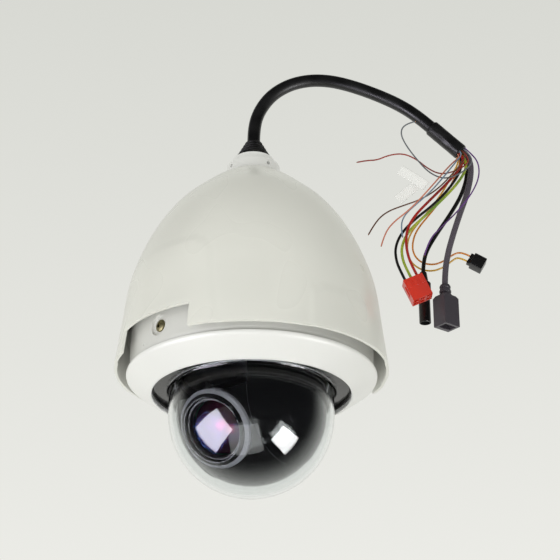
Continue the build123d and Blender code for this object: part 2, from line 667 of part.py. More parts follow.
def drum_envelope(radius, half, clip):
    """Slice of a ball about the tilt axis, cut flat above and behind so that it clears the turntable."""
    big = 2 * radius
    ball = Pos(0, 0, HEAD_Z) * Sphere(radius)
    ball &= slab(-half, half, -big, big, HEAD_Z - big, HEAD_Z + big)
    ball -= slab(-big, big, -big, 0, HEAD_Z + clip, HEAD_Z + big)
    ball -= slab(-big, big, clip, big, HEAD_Z - big, HEAD_Z)
    corner = slab(-big, big, 0, big, HEAD_Z, HEAD_Z + big) - along_x(clip, -big, big)
    return ball - corner


def drum_shell():
    """Whole hollow drum, before it is parted into its front and rear halves."""
    hollow = drum_envelope(DRUM_R - 2.2, DRUM_HALF - 2.2, DRUM_CLIP - 2.2)
    shell = drum_envelope(DRUM_R, DRUM_HALF, DRUM_CLIP) - hollow
    shell -= along_y(BEZEL_R + 0.2, -70, -30)
    for z in DRUM_SCREW_HEIGHTS:
        shell -= along_x(1.0, 20, 50, 12, z)
    return shell - along_x(AXLE_R, -50, 50)


def drum_front():
    """Front half of the drum's shell, with the round lens opening."""
    return drum_shell() & slab(-70, 70, -70, DRUM_PART_Y - 0.1, HEAD_Z - 70, HEAD_Z + 70)


def drum_rear():
    """Rear half of the drum's shell."""
    return drum_shell() & slab(-70, 70, DRUM_PART_Y, 70, HEAD_Z - 70, HEAD_Z + 70)


def drum_screws():
    """Two small screws in the drum's flat sides, below the parting line."""
    one = Rot(0, 90, 0) * screw(1.8, 0.5, 0.9, 2)
    return [Pos(DRUM_HALF, 12, z) * one for z in DRUM_SCREW_HEIGHTS]


def lens_bezel():
    """Ring round the lens, standing a little proud of the drum."""
    front = -56.4
    outline = [
        (BEZEL_R - 5.0, 48.0), (BEZEL_R, 48.0), (BEZEL_R, 52.4), (BEZEL_R - 1.0, 53.4),
        (BEZEL_R - 5.4, -front), (BEZEL_R - 6.4, -front), (BARREL_R, 52.0), (BARREL_R, 48.0),
    ]
    return Pos(0, 0, HEAD_Z) * Rot(90, 0, 0) * turned(outline)


def lens_barrel():
    """Lens tube from the front glass back to the filter, with an inner step behind the glass."""
    tube = along_y(BARREL_R, -54, -14) - along_y(BARREL_R - 1.6, -60, -10)
    return tube + (along_y(BARREL_R - 0.2, -48, -46.6) - along_y(LENS_R - 2, -60, -10))


def front_lens():
    """Front glass: a domed disc held in the barrel's mouth."""
    disc = along_y(LENS_R, -57.5, -48)
    return disc & (Pos(0, -18, HEAD_Z) * Sphere(39.0))


def lens_group(radius, middle, width):
    """Glass in a thin carrier ring that slides inside the barrel."""
    carrier = along_y(radius, middle - width / 2, middle + width / 2)
    return fillet(carrier.edges().filter_by(GeomType.CIRCLE), 0.8)


def ir_filter():
    """Thin filter frame that slides across the light path behind the barrel."""
    frame = slab(-16, 9, -11.6, -10.6, HEAD_Z - 8, HEAD_Z + 8)
    return frame


def sensor_board():
    """Image sensor on its square board at the back of the drum."""
    made = slab(-19, 19, -4, -2.4, HEAD_Z - 18, HEAD_Z + 18)
    return made + slab(-8, 8, -7, -4, HEAD_Z - 6, HEAD_Z + 6)


def tilt_axles():
    """Two stub axles in the drum's sides; the right one is longer and carries the gear."""
    right = along_x(AXLE_R, DRUM_HALF - 2.2, TILT_GEAR_X + TILT_GEAR_W + 0.6)
    right += along_x(9, DRUM_HALF - 3.8, DRUM_HALF - 2.2)
    left = along_x(AXLE_R, -ARM_OUT - 0.6, 2.2 - DRUM_HALF)
    left += along_x(9, 2.2 - DRUM_HALF, 3.8 - DRUM_HALF)
    return [right, left]


# ---------------------------------------------------------------- cords and their ends


def cable_sleeve():
    """Heat-shrink sleeve where the tail cable splits into its pigtails."""
    start = Vector(*SLEEVE_START)
    run = Vector(*SLEEVE_END) - start
    place = Plane(origin=start, z_dir=run)
    body = place * Pos(0, 0, run.length / 2) * Cylinder(SLEEVE_D / 2, run.length)
    return fillet(body.edges().filter_by(GeomType.CIRCLE), 0.7)


def network_coupler():
    """Network coupler: a round boot and a square body with an open socket below."""
    top = COUPLER_TOP
    boot = cylinder(3.9, top - 11, top) + cylinder(4.6, top - 3.4, top - 1.6)
    boot += cylinder(4.9, top - 7.6, top - 5.8) + cylinder(5.4, top - 11, top - 9.6)
    body = slab(-8, 8, -7, 7, COUPLER_BOTTOM, top - 10)
    body = chamfer(body.edges().group_by(Axis.Z)[-1], 2.4)
    body = fillet(body.edges().filter_by(Axis.Z), 1)
    socket = slab(-5.9, 5.9, -4.6, 3.4, COUPLER_BOTTOM - 1, COUPLER_BOTTOM + 14)
    key = slab(-3.2, 3.2, 3.0, 5.2, COUPLER_BOTTOM - 1, COUPLER_BOTTOM + 14)
    made = boot + (body - socket - key)
    made += slab(-4.2, 4.2, -4.6, -4.0, COUPLER_BOTTOM + 3, COUPLER_BOTTOM + 14)
    return Pos(COUPLER_X, COUPLER_Y, 0) * Rot(0, 0, COUPLER_YAW) * made


def video_connector():
    """Coaxial connector: boot, knurled body, and a bayonet barrel with two pins."""
    top = VIDEO_TOP
    made = turned([
        (0, top), (2.9, top), (4.0, top - 9), (5.6, top - 9.6), (5.6, top - 21), (4.8, top - 21.6),
        (4.8, top - 46), (4.0, top - 46), (4.0, top - 30), (2.4, top - 30), (2.4, top - 42),
        (0, top - 42),
    ])
    made += Pos(0, 0, top - 42) * Rot(90, 0, 0) * Cylinder(0.9, 12) - cylinder(4.0, top - 50, top - 30)
    return Pos(VIDEO_X, VIDEO_Y, 0) * made


def power_plug():
    """Six-way plug: a ribbed block with three wire entries above and six sockets below."""
    block = slab(-8.6, 8.6, -6, 6, -20, 0)
    block = fillet(block.edges().filter_by(Axis.Z), 0.8)
    for x in (-5.4, 0, 5.4):
        for y in (-2.8, 2.8):
            block -= slab(x - 1.9, x + 1.9, y - 1.9, y + 1.9, -21, -11)
        block -= slab(x - 1.4, x + 1.4, -7, -5, -8, -3)
    return Pos(*PLUG_POS) * Rot(0, PLUG_ROLL, 0) * block


def terminal_block():
    """Two-way screw terminal with wire mouths on its left and screws on top."""
    block = slab(0, 14, -5.4, 5.4, -5.5, 5.5)
    block = fillet(block.edges().filter_by(Axis.Y), 0.8)
    for z in (-2.7, 2.7):
        block -= slab(9, 15, -3.4, 3.4, z - 1.8, z + 1.8)
        block -= Pos(4, -5, z) * Rot(90, 0, 0) * Cylinder(1.7, 4)
    return Pos(*TERMINAL_POS) * Rot(0, TERMINAL_ROLL, 0) * block


def label_flags():
    """Two blank paper flags folded round the signal wires."""
    made = []
    for middle, turn in (((131, -14.2, -24), -42), ((134, -18.2, -14), 36)):
        flag = Rot(0, turn, 0) * Box(27, 0.5, 9)
        made.append(Pos(*middle) * flag)
    return made


# ---------------------------------------------------------------- assembly


def in_pan(shape):
    """Shape turned with the head to its rest direction."""
    return Rot(0, 0, PAN_REST) * shape


def in_tilt(shape):
    """Shape turned with the drum to its rest tilt, and then with the head."""
    tip = Pos(0, 0, HEAD_Z) * Rot(TILT_REST, 0, 0) * Pos(0, 0, -HEAD_Z)
    return in_pan(tip * shape)


def write(name, *shapes):
    """Writes one node, a single solid or a group of separate ones."""
    flat = []
    for shape in shapes:
        flat.extend(shape if isinstance(shape, (list, tuple)) else [shape])
    solids = [solid for shape in flat for solid in shape.solids()]
    export_step(Compound(children=solids), f"parts/{name}.step")
    print(name, len(solids))


def main():
    """Writes every node of the camera."""
    os.makedirs("parts", exist_ok=True)
    write("mount_neck", mount_neck())
    write("neck_screws", neck_screws())
    write("cable_gland", cable_gland())
    write("upper_housing", upper_housing())
    write("sun_shield", sun_shield())
    write("shield_rim", shield_rim())
    write("dome_ring", dome_ring())
    write("ring_lock_screws", ring_lock_screws())
    write("dome_gasket", dome_gasket())
    write("dome_bubble", dome_bubble())
    write("dome_flange", dome_flange())
    write("dome_liner", dome_liner())
    write("liner_screws", liner_screws())
    write("chassis_plate", chassis_plate())
    write("chassis_posts", chassis_posts())
    write("main_board", main_board())
    write("power_board", power_board())
    write("heater_plate", heater_plate())
    write("fan_frame", fan_frame())
    write("fan_rotor", fan_rotor())
    write("pan_bearing", pan_bearing())
    write("slip_ring_body", slip_ring_body())
    write("pan_motor", pan_motor())
    write("pan_pinion", pan_pinion())
    write("pan_gear", pan_gear())
    write("slip_ring_rotor", slip_ring_rotor())
    write("pan_turntable", in_pan(pan_turntable()))
    write("head_skirt", in_pan(head_skirt()))
    write("side_cover_left", in_pan(side_cover(-1)))
    write("side_cover_right", in_pan(side_cover(1)))
    write("yoke_arm_left", in_pan(yoke_arm(-1)))
    write("yoke_arm_right", in_pan(yoke_arm(1)))
    write("tilt_bearings", [in_pan(b) for b in tilt_bearings()])
    write("tilt_motor", in_pan(tilt_motor()))
    write("tilt_pinion", in_pan(tilt_pinion()))
    write("tilt_gear", in_pan(tilt_gear()))
    write("tilt_axles", [in_tilt(a) for a in tilt_axles()])
    write("drum_front", in_tilt(drum_front()))
    write("drum_rear", in_tilt(drum_rear()))
    write("drum_screws", [in_tilt(s) for s in drum_screws()])
    write("lens_bezel", in_tilt(lens_bezel()))
    write("lens_barrel", in_tilt(lens_barrel()))
    write("front_lens", in_tilt(front_lens()))
    write("zoom_group", in_tilt(lens_group(18.0, -38.0, 6.0)))
    write("focus_group", in_tilt(lens_group(15.0, -22.0, 4.0)))
    write("ir_filter", in_tilt(ir_filter()))
    write("sensor_board", in_tilt(sensor_board()))
    write("main_cable", tube_along(MAIN_ROUTE, CABLE_D, "main_cable"))
    write("cable_sleeve", cable_sleeve())
    write("network_lead", tube_along(NETWORK_ROUTE, NETWORK_D, "network_lead"))
    write("network_coupler", network_coupler())
    write("video_lead", tube_along(VIDEO_ROUTE, VIDEO_D, "video_lead"))
    write("video_connector", video_connector())
    write("power_leads", [tube_along(r, POWER_D, "power_lead") for r in POWER_ROUTES])
    write("power_plug", power_plug())
    write("terminal_leads", [tube_along(r, TERMINAL_D, "terminal_lead") for r in TERMINAL_ROUTES])
    write("terminal_block", terminal_block())
    write("signal_wires", [tube_along(r, SIGNAL_D, "signal_wire") for r in SIGNAL_ROUTES])
    write("label_flags", label_flags())


main()
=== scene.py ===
"""Outdoor speed-dome camera: the visual model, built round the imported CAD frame.

Sizes in the classes are millimetres in the model's own frame: +Z up along the pan axis, the origin in
the middle of the neck's collar. Meshes are scaled to metres when they are finished.
"""

import logging
import math
from dataclasses import dataclass, field
from enum import Enum
from typing import Callable, Iterable, Optional, Sequence

import bmesh
import bpy
from mathutils import Matrix, Vector, noise


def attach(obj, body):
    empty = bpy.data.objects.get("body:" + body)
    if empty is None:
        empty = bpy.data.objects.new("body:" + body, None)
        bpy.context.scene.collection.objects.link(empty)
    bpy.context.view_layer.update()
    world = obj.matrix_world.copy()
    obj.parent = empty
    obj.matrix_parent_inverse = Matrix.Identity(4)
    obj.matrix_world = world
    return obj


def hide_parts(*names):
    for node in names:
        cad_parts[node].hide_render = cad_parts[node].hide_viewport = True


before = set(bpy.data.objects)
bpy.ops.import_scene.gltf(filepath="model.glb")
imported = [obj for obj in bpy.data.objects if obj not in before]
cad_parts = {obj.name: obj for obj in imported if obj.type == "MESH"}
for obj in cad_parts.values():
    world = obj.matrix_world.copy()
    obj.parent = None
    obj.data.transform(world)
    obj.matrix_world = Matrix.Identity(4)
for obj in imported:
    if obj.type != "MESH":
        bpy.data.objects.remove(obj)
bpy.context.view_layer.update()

LOG = logging.getLogger("speed_dome")
MM = 0.001
Point = tuple[float, float, float]
Outline = Sequence[tuple[float, float]]

HEAD_CENTRE = Vector((0.0, 0.0, -215.0))
PAN_REST = math.radians(-36.5)
TILT_REST = math.radians(31.0)
IN_PAN = Matrix.Translation(HEAD_CENTRE) @ Matrix.Rotation(PAN_REST, 4, "Z")
IN_TILT = IN_PAN @ Matrix.Rotation(TILT_REST, 4, "X")
ALONG_LENS = IN_TILT @ Matrix.Rotation(math.radians(90), 4, "X")


class Body(Enum):
    """The moving bodies that a piece can ride on."""

    HOUSING = "housing"
    HEAD = "pan_head"
    DRUM = "camera_drum"
    ZOOM = "zoom_carrier"
    FOCUS = "focus_carrier"


class Lay(Enum):
    """How a cord is held along its length."""

    HANGING = "hanging"


class Stiffness(Enum):
    """How much a cord resists bending."""

    LIMP = "limp"
    MEDIUM = "medium"
    STIFF = "stiff"


# ---------------------------------------------------------------- colours and shader nodes


def linear(code: str) -> tuple[float, float, float, float]:
    """Turns an sRGB hex colour into the linear colour that shaders use.

    Args:
        code: Six hex digits, with or without a leading #.

    Returns:
        Linear red, green, blue and an alpha of one.
    """
    digits = code.lstrip("#")
    parts = [int(digits[i : i + 2], 16) / 255 for i in (0, 2, 4)]
    curve = [c / 12.92 if c <= 0.04045 else ((c + 0.055) / 1.055) ** 2.4 for c in parts]
    return (curve[0], curve[1], curve[2], 1.0)


def add_node(
    tree: bpy.types.NodeTree, kind: str, inputs: Optional[dict] = None, **settings: object
) -> bpy.types.Node:
    """Adds one shader node with its settings and its inputs.

    Args:
        tree: The node tree that gets the node.
        kind: The node's type name.
        inputs: For each input, by name or index, a value or the output socket that feeds it.
        **settings: The node's own properties.

    Returns:
        The new node.
    """
    node = tree.nodes.new(kind)
    for name, value in settings.items():
        setattr(node, name, value)
    for key, value in (inputs or {}).items():
        socket = node.inputs[key]
        if isinstance(value, bpy.types.NodeSocket):
            tree.links.new(value, socket)
        else:
            socket.default_value = value
    return node


@dataclass(frozen=True)
class Finish:
    """One surface finish. It makes its material once and hands out the same one after that."""

    name: str
    slot: str

    def material(self) -> bpy.types.Material:
        """Returns the finish's material, and makes it on the first call."""
        found = bpy.data.materials.get(self.name)
        if found is not None:
            return found
        made = bpy.data.materials.new(self.name)
        made.use_nodes = True
        made.node_tree.nodes.clear()
        shader = self.shade(made.node_tree)
        add_node(made.node_tree, "ShaderNodeOutputMaterial", {"Surface": shader.outputs[0]})
        return made

    def shade(self, tree: bpy.types.NodeTree) -> bpy.types.Node:
        """Builds the finish's shader and returns it."""
        raise NotImplementedError

    @staticmethod
    def place(tree: bpy.types.NodeTree) -> bpy.types.NodeSocket:
        """Returns the object coordinates that every pattern here is laid on."""
        return add_node(tree, "ShaderNodeTexCoord").outputs["Object"]

    @staticmethod
    def grain(
        tree: bpy.types.NodeTree, place: bpy.types.NodeSocket, size_mm: float, detail: float = 0.0
    ) -> bpy.types.NodeSocket:
        """Soft irregular pattern.

        Args:
            tree: The node tree.
            place: Coordinates in metres.
            size_mm: Size of one bump of the pattern.
            detail: Octaves of finer pattern on top.

        Returns:
            The pattern's value, from 0 to 1.
        """
        made = add_node(
            tree, "ShaderNodeTexNoise", {"Vector": place, "Scale": 1000.0 / size_mm, "Detail": detail}
        )
        return made.outputs[0]

    @staticmethod
    def between(
        tree: bpy.types.NodeTree, value: bpy.types.NodeSocket, low: float, high: float
    ) -> bpy.types.NodeSocket:
        """Stretches the middle of a pattern to run from low to high."""
        spread = {"Value": value, "From Min": 0.3, "From Max": 0.7, "To Min": low, "To Max": high}
        return add_node(tree, "ShaderNodeMapRange", spread).outputs[0]

    @staticmethod
    def blend(
        tree: bpy.types.NodeTree, share: bpy.types.NodeSocket, first: object, second: object
    ) -> bpy.types.NodeSocket:
        """Mixes two colours, or two colour sockets, by a share from 0 to 1."""
        made = add_node(tree, "ShaderNodeMix", {0: share, 6: first, 7: second}, data_type="RGBA")
        return made.outputs[2]

    @staticmethod
    def relief(
        tree: bpy.types.NodeTree, height: bpy.types.NodeSocket, depth_mm: float, strength: float = 1.0
    ) -> bpy.types.NodeSocket:
        """Surface normal for a height pattern that is depth_mm from its lowest to its highest."""
        made = add_node(
            tree, "ShaderNodeBump", {"Height": height, "Distance": depth_mm * MM, "Strength": strength}
        )
        return made.outputs[0]


@dataclass(frozen=True)
class Moulded(Finish):
    """Plain coloured plastic or paint over a shallow orange-peel surface.

    The peel is the soft unevenness that a mould or a spray gun leaves, so highlights waver a little.
    Tint and gloss change slowly together, which keeps a large face from looking flat.
    """

    colour: str = "#FFFFFF"
    shade_colour: str = "#EEEEEE"
    gloss: tuple[float, float] = (0.3, 0.4)
    peel_mm: float = 6.0
    peel_depth_mm: float = 0.01
    cloud_mm: float = 40.0
    ior: float = 1.5
    clear_coat: float = 0.0
    scatter: float = 0.0

    def shade(self, tree: bpy.types.NodeTree) -> bpy.types.Node:
        """Builds the plastic's shader."""
        place = self.place(tree)
        cloud = self.grain(tree, place, self.cloud_mm)
        share = self.between(tree, cloud, 0.0, 1.0)
        colour = self.blend(tree, share, linear(self.colour), linear(self.shade_colour))
        rough = self.between(tree, cloud, *self.gloss)
        normal = self.relief(tree, self.grain(tree, place, self.peel_mm), self.peel_depth_mm)
        inputs = {
            "Base Color": colour,
            "Roughness": rough,
            "Normal": normal,
            "IOR": self.ior,
            "Coat Weight": self.clear_coat,
            "Coat Roughness": 0.08,
            "Subsurface Weight": self.scatter,
            "Subsurface Scale": 0.001,
        }
        return add_node(tree, "ShaderNodeBsdfPrincipled", inputs)


@dataclass(frozen=True)
class Rubber(Finish):
    """Black elastomer: a soft matt bloom that comes and goes, and no clear highlight."""

    colour: str = "#131314"
    dust: str = "#2B2A29"
    gloss: tuple[float, float] = (0.5, 0.68)
    grain_mm: float = 4.0
    grain_depth_mm: float = 0.03

    def shade(self, tree: bpy.types.NodeTree) -> bpy.types.Node:
        """Builds the rubber's shader."""
        place = self.place(tree)
        bloom = self.grain(tree, place, 12.0)
        share = self.between(tree, bloom, 0.0, 1.0)
        colour = self.blend(tree, share, linear(self.colour), linear(self.dust))
        rough = self.between(tree, bloom, *self.gloss)
        normal = self.relief(tree, self.grain(tree, place, self.grain_mm), self.grain_depth_mm)
        inputs = {"Base Color": colour, "Roughness": rough, "Normal": normal, "IOR": 1.52}
        return add_node(tree, "ShaderNodeBsdfPrincipled", inputs)


@dataclass(frozen=True)
class Metal(Finish):
    """Bare or plated metal with fine tool marks along one direction.

    The marks stretch the highlight across them, and plating shows as a warmer tint in patches.
    """

    colour: str = "#C4C4C2"
    patina: str = "#A9A8A4"
    gloss: tuple[float, float] = (0.24, 0.4)
    marks_mm: Point = (0.3, 0.3, 4.0)
    marks_depth_mm: float = 0.004

    def shade(self, tree: bpy.types.NodeTree) -> bpy.types.Node:
        """Builds the metal's shader."""
        place = self.place(tree)
        scale = tuple(1000.0 / size for size in self.marks_mm)
        drawn = add_node(tree, "ShaderNodeMapping", {"Vector": place, "Scale": scale}).outputs[0]
        marks = add_node(tree, "ShaderNodeTexNoise", {"Vector": drawn, "Scale": 1.0, "Detail": 4.0})
        patch = self.between(tree, self.grain(tree, place, 5.0, 3.0), 0.0, 1.0)
        colour = self.blend(tree, patch, linear(self.colour), linear(self.patina))
        rough = self.between(tree, marks.outputs[0], *self.gloss)
        normal = self.relief(tree, marks.outputs[0], self.marks_depth_mm)
        inputs = {"Base Color": colour, "Roughness": rough, "Normal": normal, "Metallic": 1.0}
        return add_node(tree, "ShaderNodeBsdfPrincipled", inputs)


@dataclass(frozen=True)
class Acrylic(Finish):
    """Clear cast acrylic: polished, with a trace of wiped haze that softens part of a reflection."""

    tint: str = "#F4F7F7"
    ior: float = 1.49

    def shade(self, tree: bpy.types.NodeTree) -> bpy.types.Node:
        """Builds the clear plastic's shader."""
        place = self.place(tree)
        wipe = add_node(tree, "ShaderNodeMapping", {"Vector": place, "Scale": (30.0, 90.0, 30.0)})
        haze = add_node(tree, "ShaderNodeTexNoise", {"Vector": wipe.outputs[0], "Detail": 5.0})
        rough = self.between(tree, haze.outputs[0], 0.0, 0.02)
        inputs = {
            "Base Color": linear(self.tint),
            "Roughness": rough,
            "IOR": self.ior,
            "Transmission Weight": 1.0,
        }
        return add_node(tree, "ShaderNodeBsdfPrincipled", inputs)


@dataclass(frozen=True)
class CoatedGlass(Finish):
    """Optical glass with an anti-reflection coating, whose thin film tints what it still reflects."""

    tint: str = "#F2ECF6"
    clear: float = 1.0
    film_nm: float = 110.0
    film_ior: float = 1.38
    reflection: str = "#FFFFFF"
    ior: float = 1.62

    def shade(self, tree: bpy.types.NodeTree) -> bpy.types.Node:
        """Builds the coated glass's shader."""
        place = self.place(tree)
        smear = self.between(tree, self.grain(tree, place, 14.0), 0.0, 0.03)
        inputs = {
            "Base Color": linear(self.tint),
            "Roughness": smear,
            "IOR": self.ior,
            "Transmission Weight": self.clear,
            "Specular Tint": linear(self.reflection),
            "Thin Film Thickness": self.film_nm,
            "Thin Film IOR": self.film_ior,
        }
        return add_node(tree, "ShaderNodeBsdfPrincipled", inputs)


@dataclass(frozen=True)
class CircuitBoard(Finish):
    """Green solder mask over copper tracks, which show as slightly raised lighter lines."""

    mask: str = "#0F4A2C"
    copper: str = "#1F6E45"
    track_mm: float = 1.6

    def shade(self, tree: bpy.types.NodeTree) -> bpy.types.Node:
        """Builds the board's shader."""
        place = self.place(tree)
        inputs = {"Vector": place, "Scale": 1000.0 / self.track_mm, "Mortar Size": 0.12}
        tracks = add_node(tree, "ShaderNodeTexBrick", inputs).outputs["Fac"]
        colour = self.blend(tree, tracks, linear(self.mask), linear(self.copper))
        normal = self.relief(tree, tracks, 0.03)
        rough = self.between(tree, self.grain(tree, place, 3.0), 0.28, 0.42)
        inputs = {"Base Color": colour, "Roughness": rough, "Normal": normal}
        return add_node(tree, "ShaderNodeBsdfPrincipled", inputs)


class Finishes:
    """The camera's finishes, each named for what the real part is made of."""

    # Injection-moulded ASA: an even warm white with a soft broad highlight.
    SHIELD = Moulded("white_asa_moulded", "white_plastic", "#ECECE7", "#E8E8E3", (0.26, 0.34), 9.0, 0.012)
    # Die-cast aluminium under white powder coat: the brightest white, with a tight peel.
    RING = Moulded("white_powder_coat", "white_paint", "#F6F6F6", "#F2F2F2", (0.3, 0.4), 5.0, 0.012)
    # The same white coat on the housing, matter, and painted greyer: painted shade, since it sits out of the
    # light under the shield.
    HOUSING = Moulded("white_coat_painted_shade", "cast_grey", "#E4E4E2", "#DCDCDA", (0.42, 0.55), 4.0, 0.02)
    # Cast acrylic bubble.
    BUBBLE = Acrylic("clear_acrylic_bubble", "clear_acrylic")
    # Black ABS polished in the mould: nearly a mirror at low angles.
    GLOSS_BLACK = Moulded("black_abs_gloss", "black_plastic", "#0B0B0C", "#0F0F10", (0.07, 0.13), 12.0, 0.004)
    # Black ABS with an etched mould face: dark grey without a clear reflection.
    SATIN_BLACK = Moulded("black_abs_satin", "black_plastic", "#1C1C1E", "#232325", (0.24, 0.34), 4.0, 0.01)
    # Grey ABS of the liner ring that shows through the bubble's flange.
    LINER = Moulded("grey_abs_satin", "black_plastic", "#B4B4B6", "#ACACAE", (0.4, 0.5), 8.0, 0.006)
    # Anodised and painted lens ring grey, partly its own colour and partly a painted highlight of the ring's
    # rim: a lighter grey edge round the glass. The covers' rounded slot edges wear it as a painted edge
    # highlight.
    GREY_AND_EDGE_HIGHLIGHT = Moulded("grey_ring_and_painted_highlight", "black_plastic", "#77777C", "#6E6E73", (0.3, 0.4), 6.0, 0.004)
    RUBBER = Rubber("black_epdm_rubber", "black_rubber")
    # Heat-shrink polyolefin: shinier than rubber, drawn tight over the cables inside.
    HEAT_SHRINK = Rubber("black_heat_shrink", "black_rubber", "#101011", "#1A1A1B", (0.3, 0.45), 5.0, 0.12)
    # PVC jacket of the tail cable: black with a soft sheen and the ripple of the extruder.
    JACKET = Rubber("black_pvc_jacket", "cable_jacket", "#0E0E0F", "#171718", (0.32, 0.46), 6.0, 0.03)
    GREY_JACKET = Moulded(
        "grey_pvc_jacket", "grey_jacket", "#5B545F", "#524C57", (0.38, 0.5), 5.0, 0.02, 30.0
    )
    COUPLER = Moulded("grey_pvc_moulding", "grey_jacket", "#48434C", "#403C44", (0.34, 0.48), 5.0, 0.02, 30.0)
    RED_PLUG = Moulded("red_nylon", "red_plastic", "#DA3420", "#CC2C1A", (0.3, 0.42), 5.0, 0.01, 20.0)
    CONNECTOR = Moulded("black_nylon", "black_plastic", "#151516", "#1B1B1C", (0.3, 0.45), 5.0, 0.01, 20.0)
    # Zinc plate with a yellow passivate: a dull straw tint on steel.
    YELLOW_STEEL = Metal("yellow_zinc_steel", "steel", "#8C8664", "#6F6A4C", (0.42, 0.54))
    STEEL = Metal("zinc_plated_steel", "steel", "#BEBEBC", "#A4A3A0")
    BRONZE = Metal("sintered_bronze", "bronze", "#A5793F", "#87602F", (0.34, 0.5))
    ALUMINIUM = Metal("machined_aluminium", "aluminium", "#C9CACB", "#B4B6B8", (0.3, 0.44))
    COPPER = Metal("bare_copper", "wire_insulation", "#C98A5A", "#A86B3F", (0.25, 0.4), (0.2, 0.2, 0.8))
    NYLON = Moulded("natural_acetal", "nylon", "#E4E1D4", "#DAD6C6", (0.35, 0.5), 4.0, 0.01)
    BOARD = CircuitBoard("green_circuit_board", "circuit_board")
    LABEL = Moulded("white_vinyl_label", "label_paper", "#FFFFFF", "#FAFAFA", (0.4, 0.5), 8.0, 0.03, 20.0)
    FRONT_GLASS = CoatedGlass("coated_front_glass", "coated_glass")
    # Inner groups: opaque, and their dark purple base colour is a painted magenta reflection of the coating,
    # on top of the real magenta tint of what they reflect.
    INNER_GLASS = CoatedGlass(
        "coated_inner_glass_painted_reflection", "coated_glass", "#5A1632", 0.0, 0.0, 1.38, "#F0407C", 2.0
    )
    FILTER_GLASS = CoatedGlass("filter_glass", "coated_glass", "#123B3A", 0.6, 300.0, 1.38, "#7FE0D0")

    @staticmethod
    def insulation(name: str, colour: str, streak: str) -> Moulded:
        """Extruded PVC wire insulation in one colour, with a slow change of tint along the wire."""
        return Moulded(
            f"pvc_insulation_{name}", "wire_insulation", colour, streak, (0.3, 0.42), 5.0, 0.01, 24.0
        )


# ---------------------------------------------------------------- shaping helpers


def smooth_outline(points: Outline, per_run: int) -> list[tuple[float, float]]:
    """Rounds an outline into one smooth curve that passes through its points.

    Args:
        points: Radius and height of each point.
        per_run: How many short runs replace each run.

    Returns:
        The finer outline.
    """
    ends = [Vector(p) for p in points]
    ends = [2 * ends[0] - ends[1], *ends, 2 * ends[-1] - ends[-2]]
    made = []
    for a, b, c, d in zip(ends, ends[1:], ends[2:], ends[3:]):
        for step in range(per_run):
            t = step / per_run
            spot = 0.5 * (
                2 * b + (c - a) * t + (2 * a - 5 * b + 4 * c - d) * t**2 + (3 * b - a - 3 * c + d) * t**3
            )
            made.append((spot.x, spot.y))
    made.append(tuple(points[-1]))
    return made


def arc(cx: float, cz: float, radius: float, start: float, end: float, steps: int) -> list:
    """Points on an arc in an outline, with its angles in degrees from the outward direction."""
    turns = [math.radians(start + (end - start) * i / steps) for i in range(steps + 1)]
    return [(cx + radius * math.cos(t), cz + radius * math.sin(t)) for t in turns]


def ease(value: float, low: float, high: float) -> float:
    """Runs smoothly from 0 at low to 1 at high."""
    t = min(1.0, max(0.0, (value - low) / (high - low)))
    return t * t * (3 - 2 * t)


def flag(faces: Iterable[bmesh.types.BMFace], slot: int) -> None:
    """Gives faces one of their object's material slots."""
    for face in faces:
        face.material_index = slot


